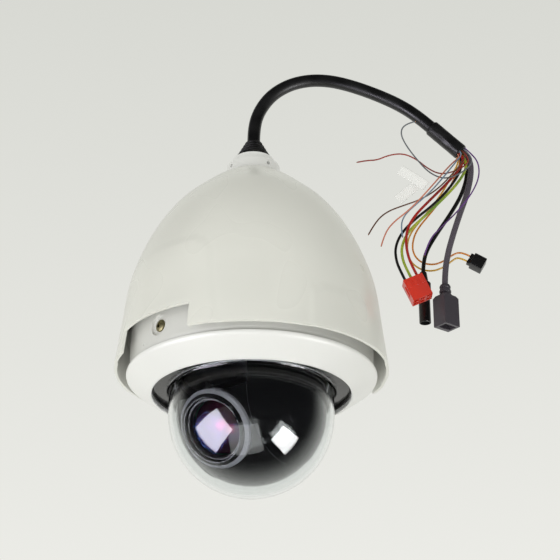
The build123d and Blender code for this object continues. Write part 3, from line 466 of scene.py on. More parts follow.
@dataclass
class Shape:
    """A mesh while it's being shaped, in millimetres."""

    bm: bmesh.types.BMesh = field(default_factory=bmesh.new)

    def lathe(self, outline: Outline, steps: int = 128, closed: bool = False) -> list[bmesh.types.BMVert]:
        """Spins an outline of radius and height round the Z axis.

        Args:
            outline: Radius and height of each point.
            steps: Faces round the circle.
            closed: True joins the last point to the first.

        Returns:
            The new vertices.
        """
        before = set(self.bm.verts)
        verts = [self.bm.verts.new((r, 0.0, z)) for r, z in outline]
        pairs = list(zip(verts, verts[1:])) + ([(verts[-1], verts[0])] if closed else [])
        edges = [self.bm.edges.new(pair) for pair in pairs]
        bmesh.ops.spin(
            self.bm, geom=[*verts, *edges], cent=(0, 0, 0), axis=(0, 0, 1), angle=2 * math.pi,
            steps=steps, use_merge=True, use_duplicate=False,
        )
        made = [v for v in self.bm.verts if v not in before]
        bmesh.ops.remove_doubles(self.bm, verts=made, dist=0.0005)
        made = [v for v in self.bm.verts if v not in before]
        faces = {face for vert in made for face in vert.link_faces}
        bmesh.ops.recalc_face_normals(self.bm, faces=list(faces))
        return made

    def box(self, low: Point, high: Point, round_mm: float = 0.0, segments: int = 3) -> list:
        """Block between two corners, with its edges rounded.

        Args:
            low: Lowest corner.
            high: Highest corner.
            round_mm: Radius of the rounding, or 0 for none.
            segments: Faces across each rounding.

        Returns:
            The new vertices.
        """
        before = set(self.bm.verts)
        middle = [(a + b) / 2 for a, b in zip(low, high)]
        size = [b - a for a, b in zip(low, high)]
        place = Matrix.Translation(middle) @ Matrix.Diagonal((*size, 1.0))
        made = bmesh.ops.create_cube(self.bm, size=1.0, matrix=place)["verts"]
        if round_mm:
            edges = {edge for vert in made for edge in vert.link_edges}
            bmesh.ops.bevel(
                self.bm, geom=list(edges), offset=round_mm, segments=segments, affect="EDGES",
                profile=0.5, material=-1,
            )
        return [v for v in self.bm.verts if v not in before]

    def place(self, matrix: Matrix, verts: Optional[Sequence[bmesh.types.BMVert]] = None) -> None:
        """Moves the whole shape, or some of its vertices, by a matrix."""
        bmesh.ops.transform(self.bm, matrix=matrix, verts=list(verts or self.bm.verts))

    def cut(self, point: Point, normal: Point, fill: bool = True) -> None:
        """Cuts away what lies on the side of a plane that its normal points to, and closes the cut.

        Args:
            point: A point on the plane.
            normal: The plane's normal.
            fill: True closes the opening with a face.
        """
        geometry = [*self.bm.verts, *self.bm.edges, *self.bm.faces]
        made = bmesh.ops.bisect_plane(
            self.bm, geom=geometry, dist=1e-4, plane_co=point, plane_no=normal, clear_outer=True
        )
        rim = [g for g in made["geom_cut"] if isinstance(g, bmesh.types.BMEdge)]
        if fill:
            bmesh.ops.holes_fill(self.bm, edges=rim, sides=0)

    def score(self, point: Point, normal: Point) -> None:
        """Adds edges where a plane crosses the shape."""
        geometry = [*self.bm.verts, *self.bm.edges, *self.bm.faces]
        bmesh.ops.bisect_plane(self.bm, geom=geometry, dist=1e-4, plane_co=point, plane_no=normal)

    def drop(self, test: Callable[[Vector], bool]) -> None:
        """Deletes the faces whose centre passes a test."""
        gone = [face for face in self.bm.faces if test(face.calc_center_median())]
        bmesh.ops.delete(self.bm, geom=gone, context="FACES")

    def bore(
        self, centre: Vector, normal: Vector, radius: float, depth: float, reach: float,
        snap: Optional[Callable[[Vector], Vector]] = None, corners: int = 24, bottom: bool = True,
    ) -> None:
        """Sinks a round hole into a smooth wall.

        The faces round the hole are replaced by a collar of faces between the cut and a circle.

        Args:
            centre: Middle of the hole on the surface.
            normal: Outward direction there.
            radius: The hole's radius.
            depth: How deep it goes.
            reach: How far from the centre faces are cut away, at least half a face past the radius.
            snap: Moves a point of the circle onto the surface.
            corners: Points round the circle.
            bottom: True closes the hole's bottom.
        """
        near = [
            face for face in self.bm.faces
            if (face.calc_center_median() - centre).length < reach and face.normal.dot(normal) > 0.3
        ]
        inner = set(near)
        rim = {e for f in near for e in f.edges if any(g not in inner for g in e.link_faces)}
        bmesh.ops.delete(self.bm, geom=near, context="FACES")
        turn = normal.to_track_quat("Z", "Y").to_matrix().to_4x4()
        ring = bmesh.ops.create_circle(
            self.bm, radius=radius, segments=corners, matrix=Matrix.Translation(centre) @ turn
        )["verts"]
        if snap is not None:
            for vert in ring:
                vert.co = snap(vert.co)
        circle = list({edge for vert in ring for edge in vert.link_edges})
        rim = [edge for edge in rim if edge.is_valid]
        bmesh.ops.bridge_loops(self.bm, edges=[*rim, *circle])
        wall = bmesh.ops.extrude_edge_only(self.bm, edges=circle)["geom"]
        foot = [g for g in wall if isinstance(g, bmesh.types.BMVert)]
        bmesh.ops.translate(self.bm, verts=foot, vec=-normal * depth)
        if bottom:
            edges = [g for g in wall if isinstance(g, bmesh.types.BMEdge) and all(v in foot for v in g.verts)]
            bmesh.ops.contextual_create(self.bm, geom=edges)
        bmesh.ops.recalc_face_normals(self.bm, faces=self.bm.faces)

    def piece(
        self, name: str, body: Body, *finishes: Finish, nodes: Sequence[str] = (),
        place: Optional[Matrix] = None, sharp: float = 35.0, flip: bool = False,
    ) -> bpy.types.Object:
        """Finishes the shape as a piece of the camera.

        Args:
            name: The piece's name.
            body: The body it rides on.
            *finishes: Its finishes, in the order of its material slots.
            nodes: The CAD nodes that it stands for.
            place: A last move, in millimetres.
            sharp: Edges that turn more than this many degrees stay sharp.
            flip: True turns the faces round.

        Returns:
            The new object.
        """
        if place is not None:
            self.place(place)
        if flip:
            bmesh.ops.reverse_faces(self.bm, faces=self.bm.faces)
        bmesh.ops.scale(self.bm, vec=(MM, MM, MM), verts=self.bm.verts)
        mesh = bpy.data.meshes.new(name)
        self.bm.to_mesh(mesh)
        self.bm.free()
        mesh.shade_smooth()
        mesh.set_sharp_from_angle(angle=math.radians(sharp))
        made = bpy.data.objects.new(name, mesh)
        bpy.context.scene.collection.objects.link(made)
        return dress(made, body, finishes, nodes)


def dress(
    made: bpy.types.Object, body: Body, finishes: Sequence[Finish], nodes: Sequence[str] = ()
) -> bpy.types.Object:
    """Gives a piece its finishes, its body and the CAD nodes that it stands for.

    Args:
        made: The piece.
        body: The body it rides on.
        finishes: Its finishes, in the order of its material slots.
        nodes: The CAD nodes that it stands for.

    Returns:
        The same piece.
    """
    for finish in finishes:
        made.data.materials.append(finish.material())
    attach(made, body.value)
    if nodes:
        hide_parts(*nodes)
    LOG.info("piece %s on %s", made.name, body.value)
    return made


def thicken(made: bpy.types.Object, wall_mm: float, offset: float = -1.0) -> None:
    """Gives an open surface a wall, on the inner side by default."""
    modifier = made.modifiers.new("wall", "SOLIDIFY")
    modifier.thickness = wall_mm * MM
    modifier.offset = offset
    modifier.use_even_offset = True


def soften(
    made: bpy.types.Object, width_mm: float, segments: int = 2, angle: float = 35.0, marked: bool = False
) -> None:
    """Rounds the edges of a piece.

    Args:
        made: The piece.
        width_mm: Width of the rounding.
        segments: Faces across it.
        angle: Edges that turn more than this many degrees are rounded.
        marked: True rounds the marked edges instead, and gives them the piece's second finish.
    """
    modifier = made.modifiers.new("edges", "BEVEL")
    modifier.width = width_mm * MM
    modifier.segments = segments
    modifier.limit_method = "WEIGHT" if marked else "ANGLE"
    modifier.angle_limit = math.radians(angle)
    modifier.material = 1 if marked else -1


def screw_head(shape: Shape, radius: float, height: float, place: Matrix, socket: int = 6) -> None:
    """Adds a low domed screw head with a socket, standing on the origin and pointing up.

    Args:
        shape: The shape that gets the head.
        radius: The head's radius.
        height: The head's height.
        place: Where the head stands.
        socket: Corners of the socket.
    """
    before = set(shape.bm.verts)
    dome = [(radius * math.cos(t), height * math.sin(t) ** 0.8) for t in (0.0, 0.35, 0.7, 1.0)]
    shape.lathe([(radius, -0.4), *dome], 24)
    rim = [e for v in shape.bm.verts if v not in before for e in v.link_edges if e.is_boundary]
    top = {e for e in rim if e.verts[0].co.z > height * 0.5}
    hole = bmesh.ops.create_circle(
        shape.bm, radius=radius * 0.42, segments=socket, matrix=Matrix.Translation((0, 0, height))
    )["verts"]
    hexagon = list({e for v in hole for e in v.link_edges})
    bmesh.ops.bridge_loops(shape.bm, edges=[*top, *hexagon])
    wall = bmesh.ops.extrude_edge_only(shape.bm, edges=hexagon)["geom"]
    foot = [g for g in wall if isinstance(g, bmesh.types.BMVert)]
    bmesh.ops.translate(shape.bm, verts=foot, vec=(0, 0, -height * 0.7))
    floor = [g for g in wall if isinstance(g, bmesh.types.BMEdge) and all(v in foot for v in g.verts)]
    bmesh.ops.contextual_create(shape.bm, geom=floor)
    made = [v for v in shape.bm.verts if v not in before]
    bmesh.ops.recalc_face_normals(shape.bm, faces=list({f for v in made for f in v.link_faces}))
    shape.place(place, made)


def facing(centre: Sequence[float], direction: Sequence[float]) -> Matrix:
    """Place that carries the Z axis to a direction and the origin to a centre."""
    turn = Vector(direction).to_track_quat("Z", "Y").to_matrix().to_4x4()
    return Matrix.Translation(Vector(centre)) @ turn


def around_axis(angle: float, radius: float, height: float) -> Vector:
    """Point at an angle in degrees, a radius and a height about the pan axis."""
    turn = math.radians(angle)
    return Vector((radius * math.cos(turn), radius * math.sin(turn), height))


# ---------------------------------------------------------------- studio


class Shines(Enum):
    """What a studio light acts on."""

    MATT = "matt surfaces only"
    GLOSS = "reflections only"


@dataclass
class Softbox:
    """A rectangular studio light."""

    name: str
    position: Point
    aim: Point
    size: tuple[float, float]
    power: float
    colour: str
    roll: float
    shines: Shines

    def build(self) -> None:
        """Hangs the light at its place, turned to its aim."""
        data = bpy.data.lights.new(self.name, "AREA")
        data.shape = "RECTANGLE"
        data.size, data.size_y = self.size
        data.energy = self.power
        data.color = linear(self.colour)[:3]
        made = bpy.data.objects.new(self.name, data)
        run = Vector(self.aim) - Vector(self.position)
        turn = run.to_track_quat("-Z", "Y").to_matrix().to_4x4()
        spin = Matrix.Rotation(math.radians(self.roll), 4, "Z")
        made.matrix_world = Matrix.Translation(self.position) @ turn @ spin
        made.visible_diffuse = self.shines is not Shines.GLOSS
        made.visible_glossy = self.shines is not Shines.MATT
        bpy.context.scene.collection.objects.link(made)


@dataclass
class Studio:
    """The camera that looks, its lights, a pale floor and pale air all round."""

    eye: Point = (0.0226, -1.1889, -0.6481)
    pitch: float = 114.75
    lens_mm: float = 102.08
    floor_z: float = -1.5
    air_low: str = "#EEEEE9"
    air_high: str = "#D6D7D1"
    strength: float = 1.0
    dim_side: str = "#2C2C2E"
    lights: tuple[Softbox, ...] = (
        Softbox(
            "softbox_left", (-1.01, -0.55, -0.83), (0, 0, -0.2185), (1.04, 0.87), 24, "#F4F0FF", 15,
            Shines.GLOSS,
        ),
        Softbox(
            "softbox_right", (0.86, -0.4, -1.01), (0, 0, -0.21), (0.68, 0.52), 14, "#FFFFFF", -6,
            Shines.GLOSS,
        ),
        Softbox("soft_fill", (-1.2, -1.2, -1.0), (0, 0, -0.12), (1.4, 1.4), 4, "#FFFFFF", 0, Shines.MATT),
        Softbox("ring_fill", (-0.2, -0.9, -1.45), (0, 0, -0.19), (1.2, 1.2), 14, "#FFFFFF", 0, Shines.MATT),
    )

    def build(self) -> None:
        """Sets up the camera, the air, the lights and the floor."""
        self.build_camera()
        self.build_air()
        for light in self.lights:
            light.build()
        self.build_floor()
        bpy.context.scene.view_settings.view_transform = "Standard"

    def build_camera(self) -> None:
        """Makes the camera that looks up at the bubble from below."""
        data = bpy.data.cameras.new("main_camera")
        data.sensor_width = 36.0
        data.lens = self.lens_mm
        made = bpy.data.objects.new("main_camera", data)
        made.location = self.eye
        made.rotation_euler = (math.radians(self.pitch), 0.0, 0.0)
        bpy.context.scene.collection.objects.link(made)
        bpy.context.scene.camera = made

    def build_air(self) -> None:
        """Makes the pale surroundings, lighter towards the floor.

        Polished surfaces see them dark on the side that the camera stands on, as with black flags.
        """
        world = bpy.data.worlds.new("pale_air")
        world.use_nodes = True
        tree = world.node_tree
        tree.nodes.clear()
        place = add_node(tree, "ShaderNodeTexCoord").outputs["Generated"]
        axes = add_node(tree, "ShaderNodeSeparateXYZ", {"Vector": place}).outputs
        spread = {"Value": axes["Z"], "From Min": 0.2, "From Max": 0.6}
        share = add_node(tree, "ShaderNodeMapRange", spread).outputs[0]
        ends = {0: share, 6: linear(self.air_low), 7: linear(self.air_high)}
        pale = add_node(tree, "ShaderNodeMix", ends, data_type="RGBA").outputs[2]
        spread = {"Value": axes["Y"], "From Min": 0.1, "From Max": 0.6}
        share = add_node(tree, "ShaderNodeMapRange", spread, interpolation_type="SMOOTHSTEP").outputs[0]
        ends = {0: share, 6: linear(self.dim_side), 7: pale}
        flagged = add_node(tree, "ShaderNodeMix", ends, data_type="RGBA").outputs[2]
        path = add_node(tree, "ShaderNodeLightPath").outputs
        direct = add_node(tree, "ShaderNodeMath", {0: path["Diffuse Depth"], 1: 0.5}, operation="LESS_THAN")
        polished = add_node(
            tree, "ShaderNodeMath", {0: path["Is Glossy Ray"], 1: direct.outputs[0]}, operation="MULTIPLY"
        )
        ends = {0: polished.outputs[0], 6: pale, 7: flagged}
        colour = add_node(tree, "ShaderNodeMix", ends, data_type="RGBA").outputs[2]
        inputs = {"Color": colour, "Strength": self.strength}
        glow = add_node(tree, "ShaderNodeBackground", inputs)
        add_node(tree, "ShaderNodeOutputWorld", {"Surface": glow.outputs[0]})
        bpy.context.scene.world = world

    def build_floor(self) -> None:
        """Lays a wide pale floor, far below."""
        shape = Shape()
        bmesh.ops.create_grid(shape.bm, x_segments=2, y_segments=2, size=1.0)
        bmesh.ops.scale(shape.bm, vec=(20.0, 20.0, 1.0), verts=shape.bm.verts)
        bmesh.ops.translate(shape.bm, verts=shape.bm.verts, vec=(0, 0, self.floor_z))
        mesh = bpy.data.meshes.new("floor")
        shape.bm.to_mesh(mesh)
        shape.bm.free()
        made = bpy.data.objects.new("floor", mesh)
        bpy.context.scene.collection.objects.link(made)
        paper = Moulded("pale_paper", "white_paint", "#E8E8E3", "#E4E4DF", (0.8, 0.9), 3.0, 0.02, 400.0)
        made.data.materials.append(paper.material())
        made.visible_glossy = False
        made.visible_transmission = False


# ---------------------------------------------------------------- cords


@dataclass
class Lead:
    """One round cord along its route, in millimetres."""

    name: str
    node: str
    route: Sequence[Point]
    diameter: float
    length: float
    finish: Finish
    far_end: str
    stiffness: Stiffness = Stiffness.LIMP

    def build(self) -> bpy.types.Object:
        """Lays the cord as a smooth spline with its route's points as control points."""
        curve = bpy.data.curves.new(self.name, "CURVE")
        curve.dimensions = "3D"
        spline = curve.splines.new("NURBS")
        spline.points.add(len(self.route) - 1)
        for point, spot in zip(spline.points, self.route):
            point.co = (*(c * MM for c in spot), 1.0)
        spline.order_u = 3
        spline.use_endpoint_u = True
        spline.resolution_u = 12
        curve.bevel_depth = self.diameter / 2 * MM
        curve.bevel_resolution = 6 if self.diameter > 3 else 3
        curve.use_fill_caps = True
        made = bpy.data.objects.new(self.name, curve)
        bpy.context.scene.collection.objects.link(made)
        return dress(made, Body.HOUSING, (self.finish,), (self.node,))

    def declare(self, made: bpy.types.Object, pieces: Sequence[object] = ()) -> None:
        """Takes the cord and its end pieces; it works out the cord's start in metres and keeps nothing."""
        tuple(c * MM for c in self.route[0])
        list(pieces)


MAIN_ROUTE = (
    (0, 0, 29), (0, 0, 45), (5, 0, 62), (15.5, 0, 77.5), (31, 0, 88), (49, 0, 92.5), (68, 0, 91.5),
    (88, 0, 85.5), (108, 0, 77), (126, 0, 67.5), (141.5, 0, 56), (153, 0, 44.5),
)
NETWORK_ROUTE = (
    (179.3, 1.6, 21.8), (184.3, 1.6, 16.8), (186, 1.4, 3), (181.5, 1, -18), (174, 1, -38),
    (167.6, 1, -57), (162.2, 1, -75), (159.2, 1, -91), (158.5, 1, -104),
)
VIDEO_ROUTE = (
    (176.9, 4.4, 19.4), (181.2, 4.4, 15.1), (183, 6.4, 2), (177.5, 8.6, -16), (167, 10, -34),
    (155.5, 11, -51), (146.5, 11, -66), (142.6, 11, -78), (142, 11, -88),
)
POWER_ROUTES = (
    ((176.65, 0.4, 19.15), (181, 0.4, 14.8), (181, -3, 2), (172, -6.5, -14), (157.5, -8.5, -31),
     (142, -9.6, -47), (129, -9.8, -60), (122.8, -10, -74), (123.2, -10, -85.4), (126.4, -10, -94.9),
     (130.5, -10, -104)),
    ((174.8, 0.4, 17.3), (178.6, 0.4, 13.5), (176, 0, 1), (165, -2.4, -17), (151, -4.6, -33),
     (135, -6, -47), (123.2, -6.8, -60.5), (117.6, -8.4, -74.6), (118.2, -9.8, -87.4),
     (121.5, -10, -97), (125.56, -10, -106.2)),
    ((175.66, -2.1, 18.16), (179.62, -2.1, 14.2), (176, -6.6, 2), (163.5, -10.6, -15),
     (148.5, -12.4, -31.5), (134.5, -13, -47), (127.6, -13, -60), (126.4, -12.6, -73),
     (128, -11, -83.6), (131.3, -10, -92.7), (135.4, -10, -101.8)),
)
TERMINAL_ROUTES = (
    ((175.1, 3.4, 17.6), (177.6, 3.4, 15.1), (174, 9, 4), (165, 13.5, -12), (151, 16, -30),
     (138, 16.8, -46), (134, 16.8, -60), (135.6, 16.8, -70), (142, 16.4, -77), (152, 15.6, -79),
     (161, 14.8, -75.4), (168.4, 14, -69.6), (175.4, 14, -67.66), (182.35, 14, -71.66)),
    ((173.75, 2.4, 16.25), (176.2, 2.4, 13.8), (170, 10, 3), (160, 16.6, -13), (146, 19.4, -31),
     (133, 19.8, -47), (129.6, 19.8, -61), (132, 19.6, -73.6), (140, 19, -81.6), (151, 17.8, -84),
     (161, 16, -80.4), (167.6, 14.4, -75), (172.7, 14, -72.3), (179.65, 14, -76.34)),
)
SIGNAL_ROUTES = (
    ((178.07, -2.2, 20.57), (181.8, -2.2, 16.84), (183, -8, 6), (172, -12, -4), (158, -12, -8),
     (147, -12, -2), (138, -12, 7), (127, -12, 12.6), (115, -12, 11), (104.5, -12, 6), (96, -12, 5.8),
     (88, -12, 4)),
    ((179.48, -2.8, 21.98), (184, -2.8, 17.46), (186, -10, 5), (176, -16, -8), (161, -16.4, -15),
     (148, -16.4, -9), (138, -16.4, 4), (129, -16.4, 18), (124.6, -16.4, 30), (128.6, -16.4, 38.6),
     (137.6, -16.4, 41)),
    ((177.2, -4, 19.7), (180.4, -4, 16.5), (178, -14, 5), (168, -19.4, -10), (154, -20, -26),
     (139, -20, -36), (124, -20, -41.6), (111, -20, -47), (101.6, -20, -56), (95.4, -20, -68)),
    ((175.8, -4.8, 18.3), (178.2, -4.8, 15.9), (171, -15, 3), (160, -21, -14), (147, -23.6, -31),
     (134, -23.6, -43), (125, -23.6, -52), (121.6, -23.6, -62), (123, -23.6, -72)),
    ((174.25, -3, 16.75), (176.4, -3, 14.6), (166, -15, 0), (153, -22, -19), (139, -27, -38),
     (127, -27.4, -51), (116, -27.4, -60), (108.4, -27.4, -70), (105, -27.4, -82)),
    ((180.9, -1.6, 23.4), (185.6, -1.6, 18.7), (191, -8, 6), (190, -14, -12), (181, -20, -32),
     (168, -24, -50), (154, -26, -65), (144, -26, -76), (140, -26, -90)),
)


@dataclass
class TailCable:
    """The tail cable, the sleeve where it splits, and every pigtail with what is on its end."""

    sleeve_start: Point = (153.0, 0.0, 44.5)
    sleeve_end: Point = (177.5, 0.0, 20.0)
    sleeve_r: float = 7.0
    power_lengths: tuple[float, ...] = (146.9, 147.4, 141.2)
    terminal_lengths: tuple[float, ...] = (155.7, 162.4)
    signal_lengths: tuple[float, ...] = (123.0, 130.4, 133.4, 114.0, 128.8, 135.3)
    power_colours: tuple[tuple[str, str, str], ...] = (
        ("yellow_green", "#B9C23A", "#5E8F2E"), ("black", "#121213", "#1C1C1D"),
        ("red", "#B3231B", "#96190F"),
    )
    terminal_colours: tuple[tuple[str, str, str], ...] = (
        ("orange", "#E08A1E", "#C97414"), ("amber", "#E3B33A", "#CF9C28"),
    )
    signal_colours: tuple[tuple[str, str, str], ...] = (
        ("brick", "#A23A2E", "#8A2C22"), ("slate", "#6E7278", "#5D6167"),
        ("brown", "#6A3F28", "#57321E"), ("blue_grey", "#7F93A8", "#6B7F95"),
        ("salmon", "#D9876F", "#C77159"), ("violet", "#6A3E8A", "#573072"),
    )
    leads: list[tuple[Lead, bpy.types.Object]] = field(default_factory=list)

    def build_cords(self) -> None:
        """Lays every cord."""
        make = Finishes.insulation
        parts = [
            Lead(
                "tail_cable", "main_cable", MAIN_ROUTE, 11.0, 206.4, Finishes.JACKET, "fitting",
                Stiffness.STIFF,
            ),
            Lead(
                "network_pigtail", "network_lead", NETWORK_ROUTE, 5.0, 131.5, Finishes.GREY_JACKET,
                "connector", Stiffness.MEDIUM,
            ),
            Lead(
                "video_pigtail", "video_lead", VIDEO_ROUTE, 3.4, 119.4, Finishes.JACKET, "connector",
                Stiffness.MEDIUM,
            ),
        ]
        groups = (
            ("power", "power_leads", POWER_ROUTES, 2.3, self.power_lengths, self.power_colours, "plug"),
            ("terminal", "terminal_leads", TERMINAL_ROUTES, 1.5, self.terminal_lengths, self.terminal_colours,
             "connector"),
            ("signal", "signal_wires", SIGNAL_ROUTES, 1.2, self.signal_lengths, self.signal_colours, "bare"),
        )
        for kind, node, routes, diameter, lengths, colours, end in groups:
            for route, length, colour in zip(routes, lengths, colours):
                name = f"{kind}_wire_{colour[0]}"
                parts.append(Lead(name, node, route, diameter, length, make(*colour), end))
        self.leads = [(lead, lead.build()) for lead in parts]

    def build_ends(self) -> None:
        """Makes the sleeve, the connectors, the bare tips and the label flags."""
        ends = {
            "fitting": [self.build_sleeve()],
            "network_lead": [NetworkCoupler().build()],
            "video_lead": [VideoConnector().build()],
            "plug": PowerPlug().build(),
            "terminal_leads": [TerminalBlock().build()],
        }
        for lead, made in self.leads:
            if lead.far_end == "bare":
                lead.declare(made, [self.build_tip(lead)])
            else:
                lead.declare(made, ends.get(lead.node) or ends[lead.far_end])
        LabelFlags().build()

    def build_sleeve(self) -> bpy.types.Object:
        """Heat-shrink sleeve, drawn in a little at both ends and dented by the wires under it."""
        shape = Shape()
        run = Vector(self.sleeve_end) - Vector(self.sleeve_start)
        long = run.length
        rows = 18
        outline = [(4.6, 0.0), (6.3, 0.0), (6.8, 0.5)]
        outline += [(self.sleeve_r, 1.2 + (long - 2.4) * i / rows) for i in range(rows + 1)]
        outline += [(6.7, long - 0.5), (6.2, long), (0.0, long)]
        shape.lathe(outline, 72)
        for vert in shape.bm.verts:
            if vert.co.xy.length > 6.0:
                wave = noise.noise(Vector((vert.co.x * 0.35, vert.co.y * 0.35, vert.co.z * 0.12)))
                pull = 1.0 - 0.07 * abs(wave) - 0.02
                vert.co.x *= pull
                vert.co.y *= pull
        return shape.piece(
            "cable_sleeve_shrink", Body.HOUSING, Finishes.HEAT_SHRINK, nodes=("cable_sleeve",),
            place=facing(self.sleeve_start, run), sharp=50,
        )

    @staticmethod
    def build_tip(lead: Lead) -> bpy.types.Object:
        """Twisted bare copper at the end of a signal wire."""
        shape = Shape()
        radius = lead.diameter * 0.3
        shape.lathe([(radius, -1.5), (radius, 0.6), (radius * 0.6, 0.9), (0.0, 1.0)], 12)
        run = Vector(lead.route[-1]) - Vector(lead.route[-2])
        return shape.piece(
            lead.name.replace("wire", "tip"), Body.HOUSING, Finishes.COPPER, place=facing(lead.route[-1], run)
        )


@dataclass
class NetworkCoupler:
    """Moulded network coupler with a ribbed boot above and an open socket below."""

    x: float = 158.5
    y: float = 1.0
    top: float = -104.0
    bottom: float = -142.0
    yaw: float = 38.0
    half: tuple[float, float] = (8.0, 7.0)
    mouth: tuple[float, float, float, float] = (-5.9, -4.6, 5.9, 3.4)

    def build(self) -> bpy.types.Object:
        """Makes the coupler as one piece with its contacts."""
        shape = Shape()
        top = self.top
        ribs = [(2.5, top), (3.9, top - 0.3), (3.9, top - 1.6)]
        for low in (1.6, 5.8, 9.6):
            wide = 4.6 if low < 3 else 4.9 if low < 7 else 5.4
            ribs += [(wide, top - low), (wide, top - low - 1.6), (3.9, top - low - 1.8)]
        shape.lathe([*ribs, (3.9, top - 12.5), (0, top - 12.5)], 40)
        self.build_case(shape)
        place = Matrix.Translation((self.x, self.y, 0)) @ Matrix.Rotation(math.radians(self.yaw), 4, "Z")
        made = shape.piece(
            "network_coupler_body", Body.HOUSING, Finishes.COUPLER, Finishes.BRONZE,
            nodes=("network_coupler",), place=place,
        )
        soften(made, 0.35, 2, 50)
        return made

    def build_case(self, shape: Shape) -> None:
        """Adds the square body, its shoulder and the socket with eight contacts."""
        hx, hy = self.half
        wide, low = self.top - 13.0, self.bottom
        before = set(shape.bm.verts)
        shape.box((-hx, -hy, low), (hx, hy, wide))
        body = [v for v in shape.bm.verts if v not in before]
        crown = [f for f in shape.bm.faces if f.normal.z > 0.9 and all(v in body for v in f.verts)]
        bmesh.ops.inset_region(shape.bm, faces=crown, thickness=2.2, depth=2.6)
        mouth = [
            f for f in shape.bm.faces if f.normal.z < -0.9 and all(v in body for v in f.verts)
        ]
        x0, y0, x1, y1 = self.mouth
        bmesh.ops.inset_region(shape.bm, faces=mouth, thickness=1.6)
        for vert in mouth[0].verts:
            vert.co.x = x0 if vert.co.x < 0 else x1
            vert.co.y = y0 if vert.co.y < 0 else y1
        hollow = bmesh.ops.extrude_face_region(shape.bm, geom=mouth)["geom"]
        bmesh.ops.delete(shape.bm, geom=mouth, context="FACES_ONLY")
        floor = [g for g in hollow if isinstance(g, bmesh.types.BMVert)]
        bmesh.ops.translate(shape.bm, verts=floor, vec=(0, 0, 14))
        for index in range(8):
            x = -3.57 + 1.02 * index
            pins = shape.box((x - 0.22, -4.4, low + 2.5), (x + 0.22, -4.0, low + 13))
            flag({f for v in pins for f in v.link_faces}, 1)


@dataclass
class VideoConnector:
    """Coaxial connector: a boot, a knurled grip and a bayonet barrel with two pins."""

    x: float = 142.0
    y: float = 11.0
    top: float = -88.0

    def build(self) -> bpy.types.Object:
        """Makes the connector."""
        shape = Shape()
        top = self.top
        outline = [
            (1.6, top), (2.7, top - 0.2), (2.9, top - 0.6), (4.0, top - 8.6), (4.2, top - 9.2),
            (5.2, top - 9.6),
            (5.6, top - 10.2), (5.6, top - 20.6), (5.2, top - 21.2), (4.8, top - 21.6), (4.8, top - 45.7),
            (4.5, top - 46), (4.0, top - 46), (4.0, top - 30.4), (2.4, top - 30.4), (2.4, top - 41.8),
            (2.0, top - 42.2), (0.0, top - 42.2),
        ]
        shape.lathe(outline, 60)
        grip = [
            f for f in shape.bm.faces
            if top - 20.5 < f.calc_center_median().z < top - 10.3 and f.normal.xy.length > 0.9
        ]
        ridges = [f for f in grip if int((math.atan2(*f.calc_center_median().xy) + 4) * 60 / 6.2832) % 2]
        bmesh.ops.inset_individual(shape.bm, faces=ridges, thickness=0.08, depth=0.25)
        for side in (-1, 1):
            before = set(shape.bm.verts)
            shape.lathe([(0.9, 0), (0.9, 1.3), (0.7, 1.5), (0, 1.5)], 16)
            pin = [v for v in shape.bm.verts if v not in before]
            shape.place(facing((0, side * 4.5, top - 42), (0, side, 0)), pin)
        return shape.piece(
            "video_connector_body", Body.HOUSING, Finishes.CONNECTOR, nodes=("video_connector",),
            place=Matrix.Translation((self.x, self.y, 0)),
        )


@dataclass
class PowerPlug:
    """Six-way plug: a red block with six square sockets, and moulded ribs on its sides."""

    place: Point = (130.5, -10.0, -104.0)
    roll: float = -24.0
    half: tuple[float, float] = (8.6, 6.0)
    high: float = 20.0
    cell: float = 1.9

    def build(self) -> list[bpy.types.Object]:
        """Makes the block with the ribs on its sides."""
        shape = Shape()
        hx, hy = self.half
        shape.box((-hx, -hy, -self.high), (hx, hy, 0.0))
        face = [f for f in shape.bm.faces if f.normal.z < -0.9]
        bmesh.ops.delete(shape.bm, geom=face, context="FACES_ONLY")
        self.build_mouth(shape)
        for x in (-5.4, 0.0, 5.4):
            shape.box((x - 0.5, hy - 0.05, -16), (x + 0.5, hy + 0.55, -3), 0.18)
            shape.box((x - 1.7, -hy - 0.55, -8.5), (x + 1.7, -hy + 0.05, -2.5), 0.18)
        shape.box((-hx - 0.6, -2.6, -13), (-hx + 0.05, 2.6, -5), 0.2)
        shape.box((hx - 0.05, -2.6, -13), (hx + 0.6, 2.6, -5), 0.2)
        matrix = Matrix.Translation(self.place) @ Matrix.Rotation(math.radians(self.roll), 4, "Y")
        made = shape.piece(
            "power_plug_body", Body.HOUSING, Finishes.RED_PLUG, Finishes.BRONZE, nodes=("power_plug",),
            place=matrix,
        )
        soften(made, 0.25, 2, 50)
        return [made]

    def build_mouth(self, shape: Shape) -> None:
        """Closes the block below with a grid whose cells are sunk into six sockets."""
        hx, hy = self.half
        xs = [-hx]
        for x in (-5.4, 0.0, 5.4):
            xs += [x - self.cell, x + self.cell]
        xs.append(hx)
        ys = [-hy, -2.8 - self.cell, -2.8 + self.cell, 2.8 - self.cell, 2.8 + self.cell, hy]
        corners = [[shape.bm.verts.new((x, y, -self.high)) for y in ys] for x in xs]
        sockets = []
        for i in range(len(xs) - 1):
            for j in range(len(ys) - 1):
                ring = (corners[i][j], corners[i][j + 1], corners[i + 1][j + 1], corners[i + 1][j])
                made = shape.bm.faces.new(ring)
                if i % 2 and j % 2:
                    sockets.append(made)
        for socket in sockets:
            grown = bmesh.ops.extrude_discrete_faces(shape.bm, faces=[socket])["faces"]
            foot = [v for f in grown for v in f.verts]
            bmesh.ops.translate(shape.bm, verts=foot, vec=(0, 0, 10))
        bmesh.ops.remove_doubles(shape.bm, verts=shape.bm.verts, dist=0.001)
        bmesh.ops.recalc_face_normals(shape.bm, faces=shape.bm.faces)


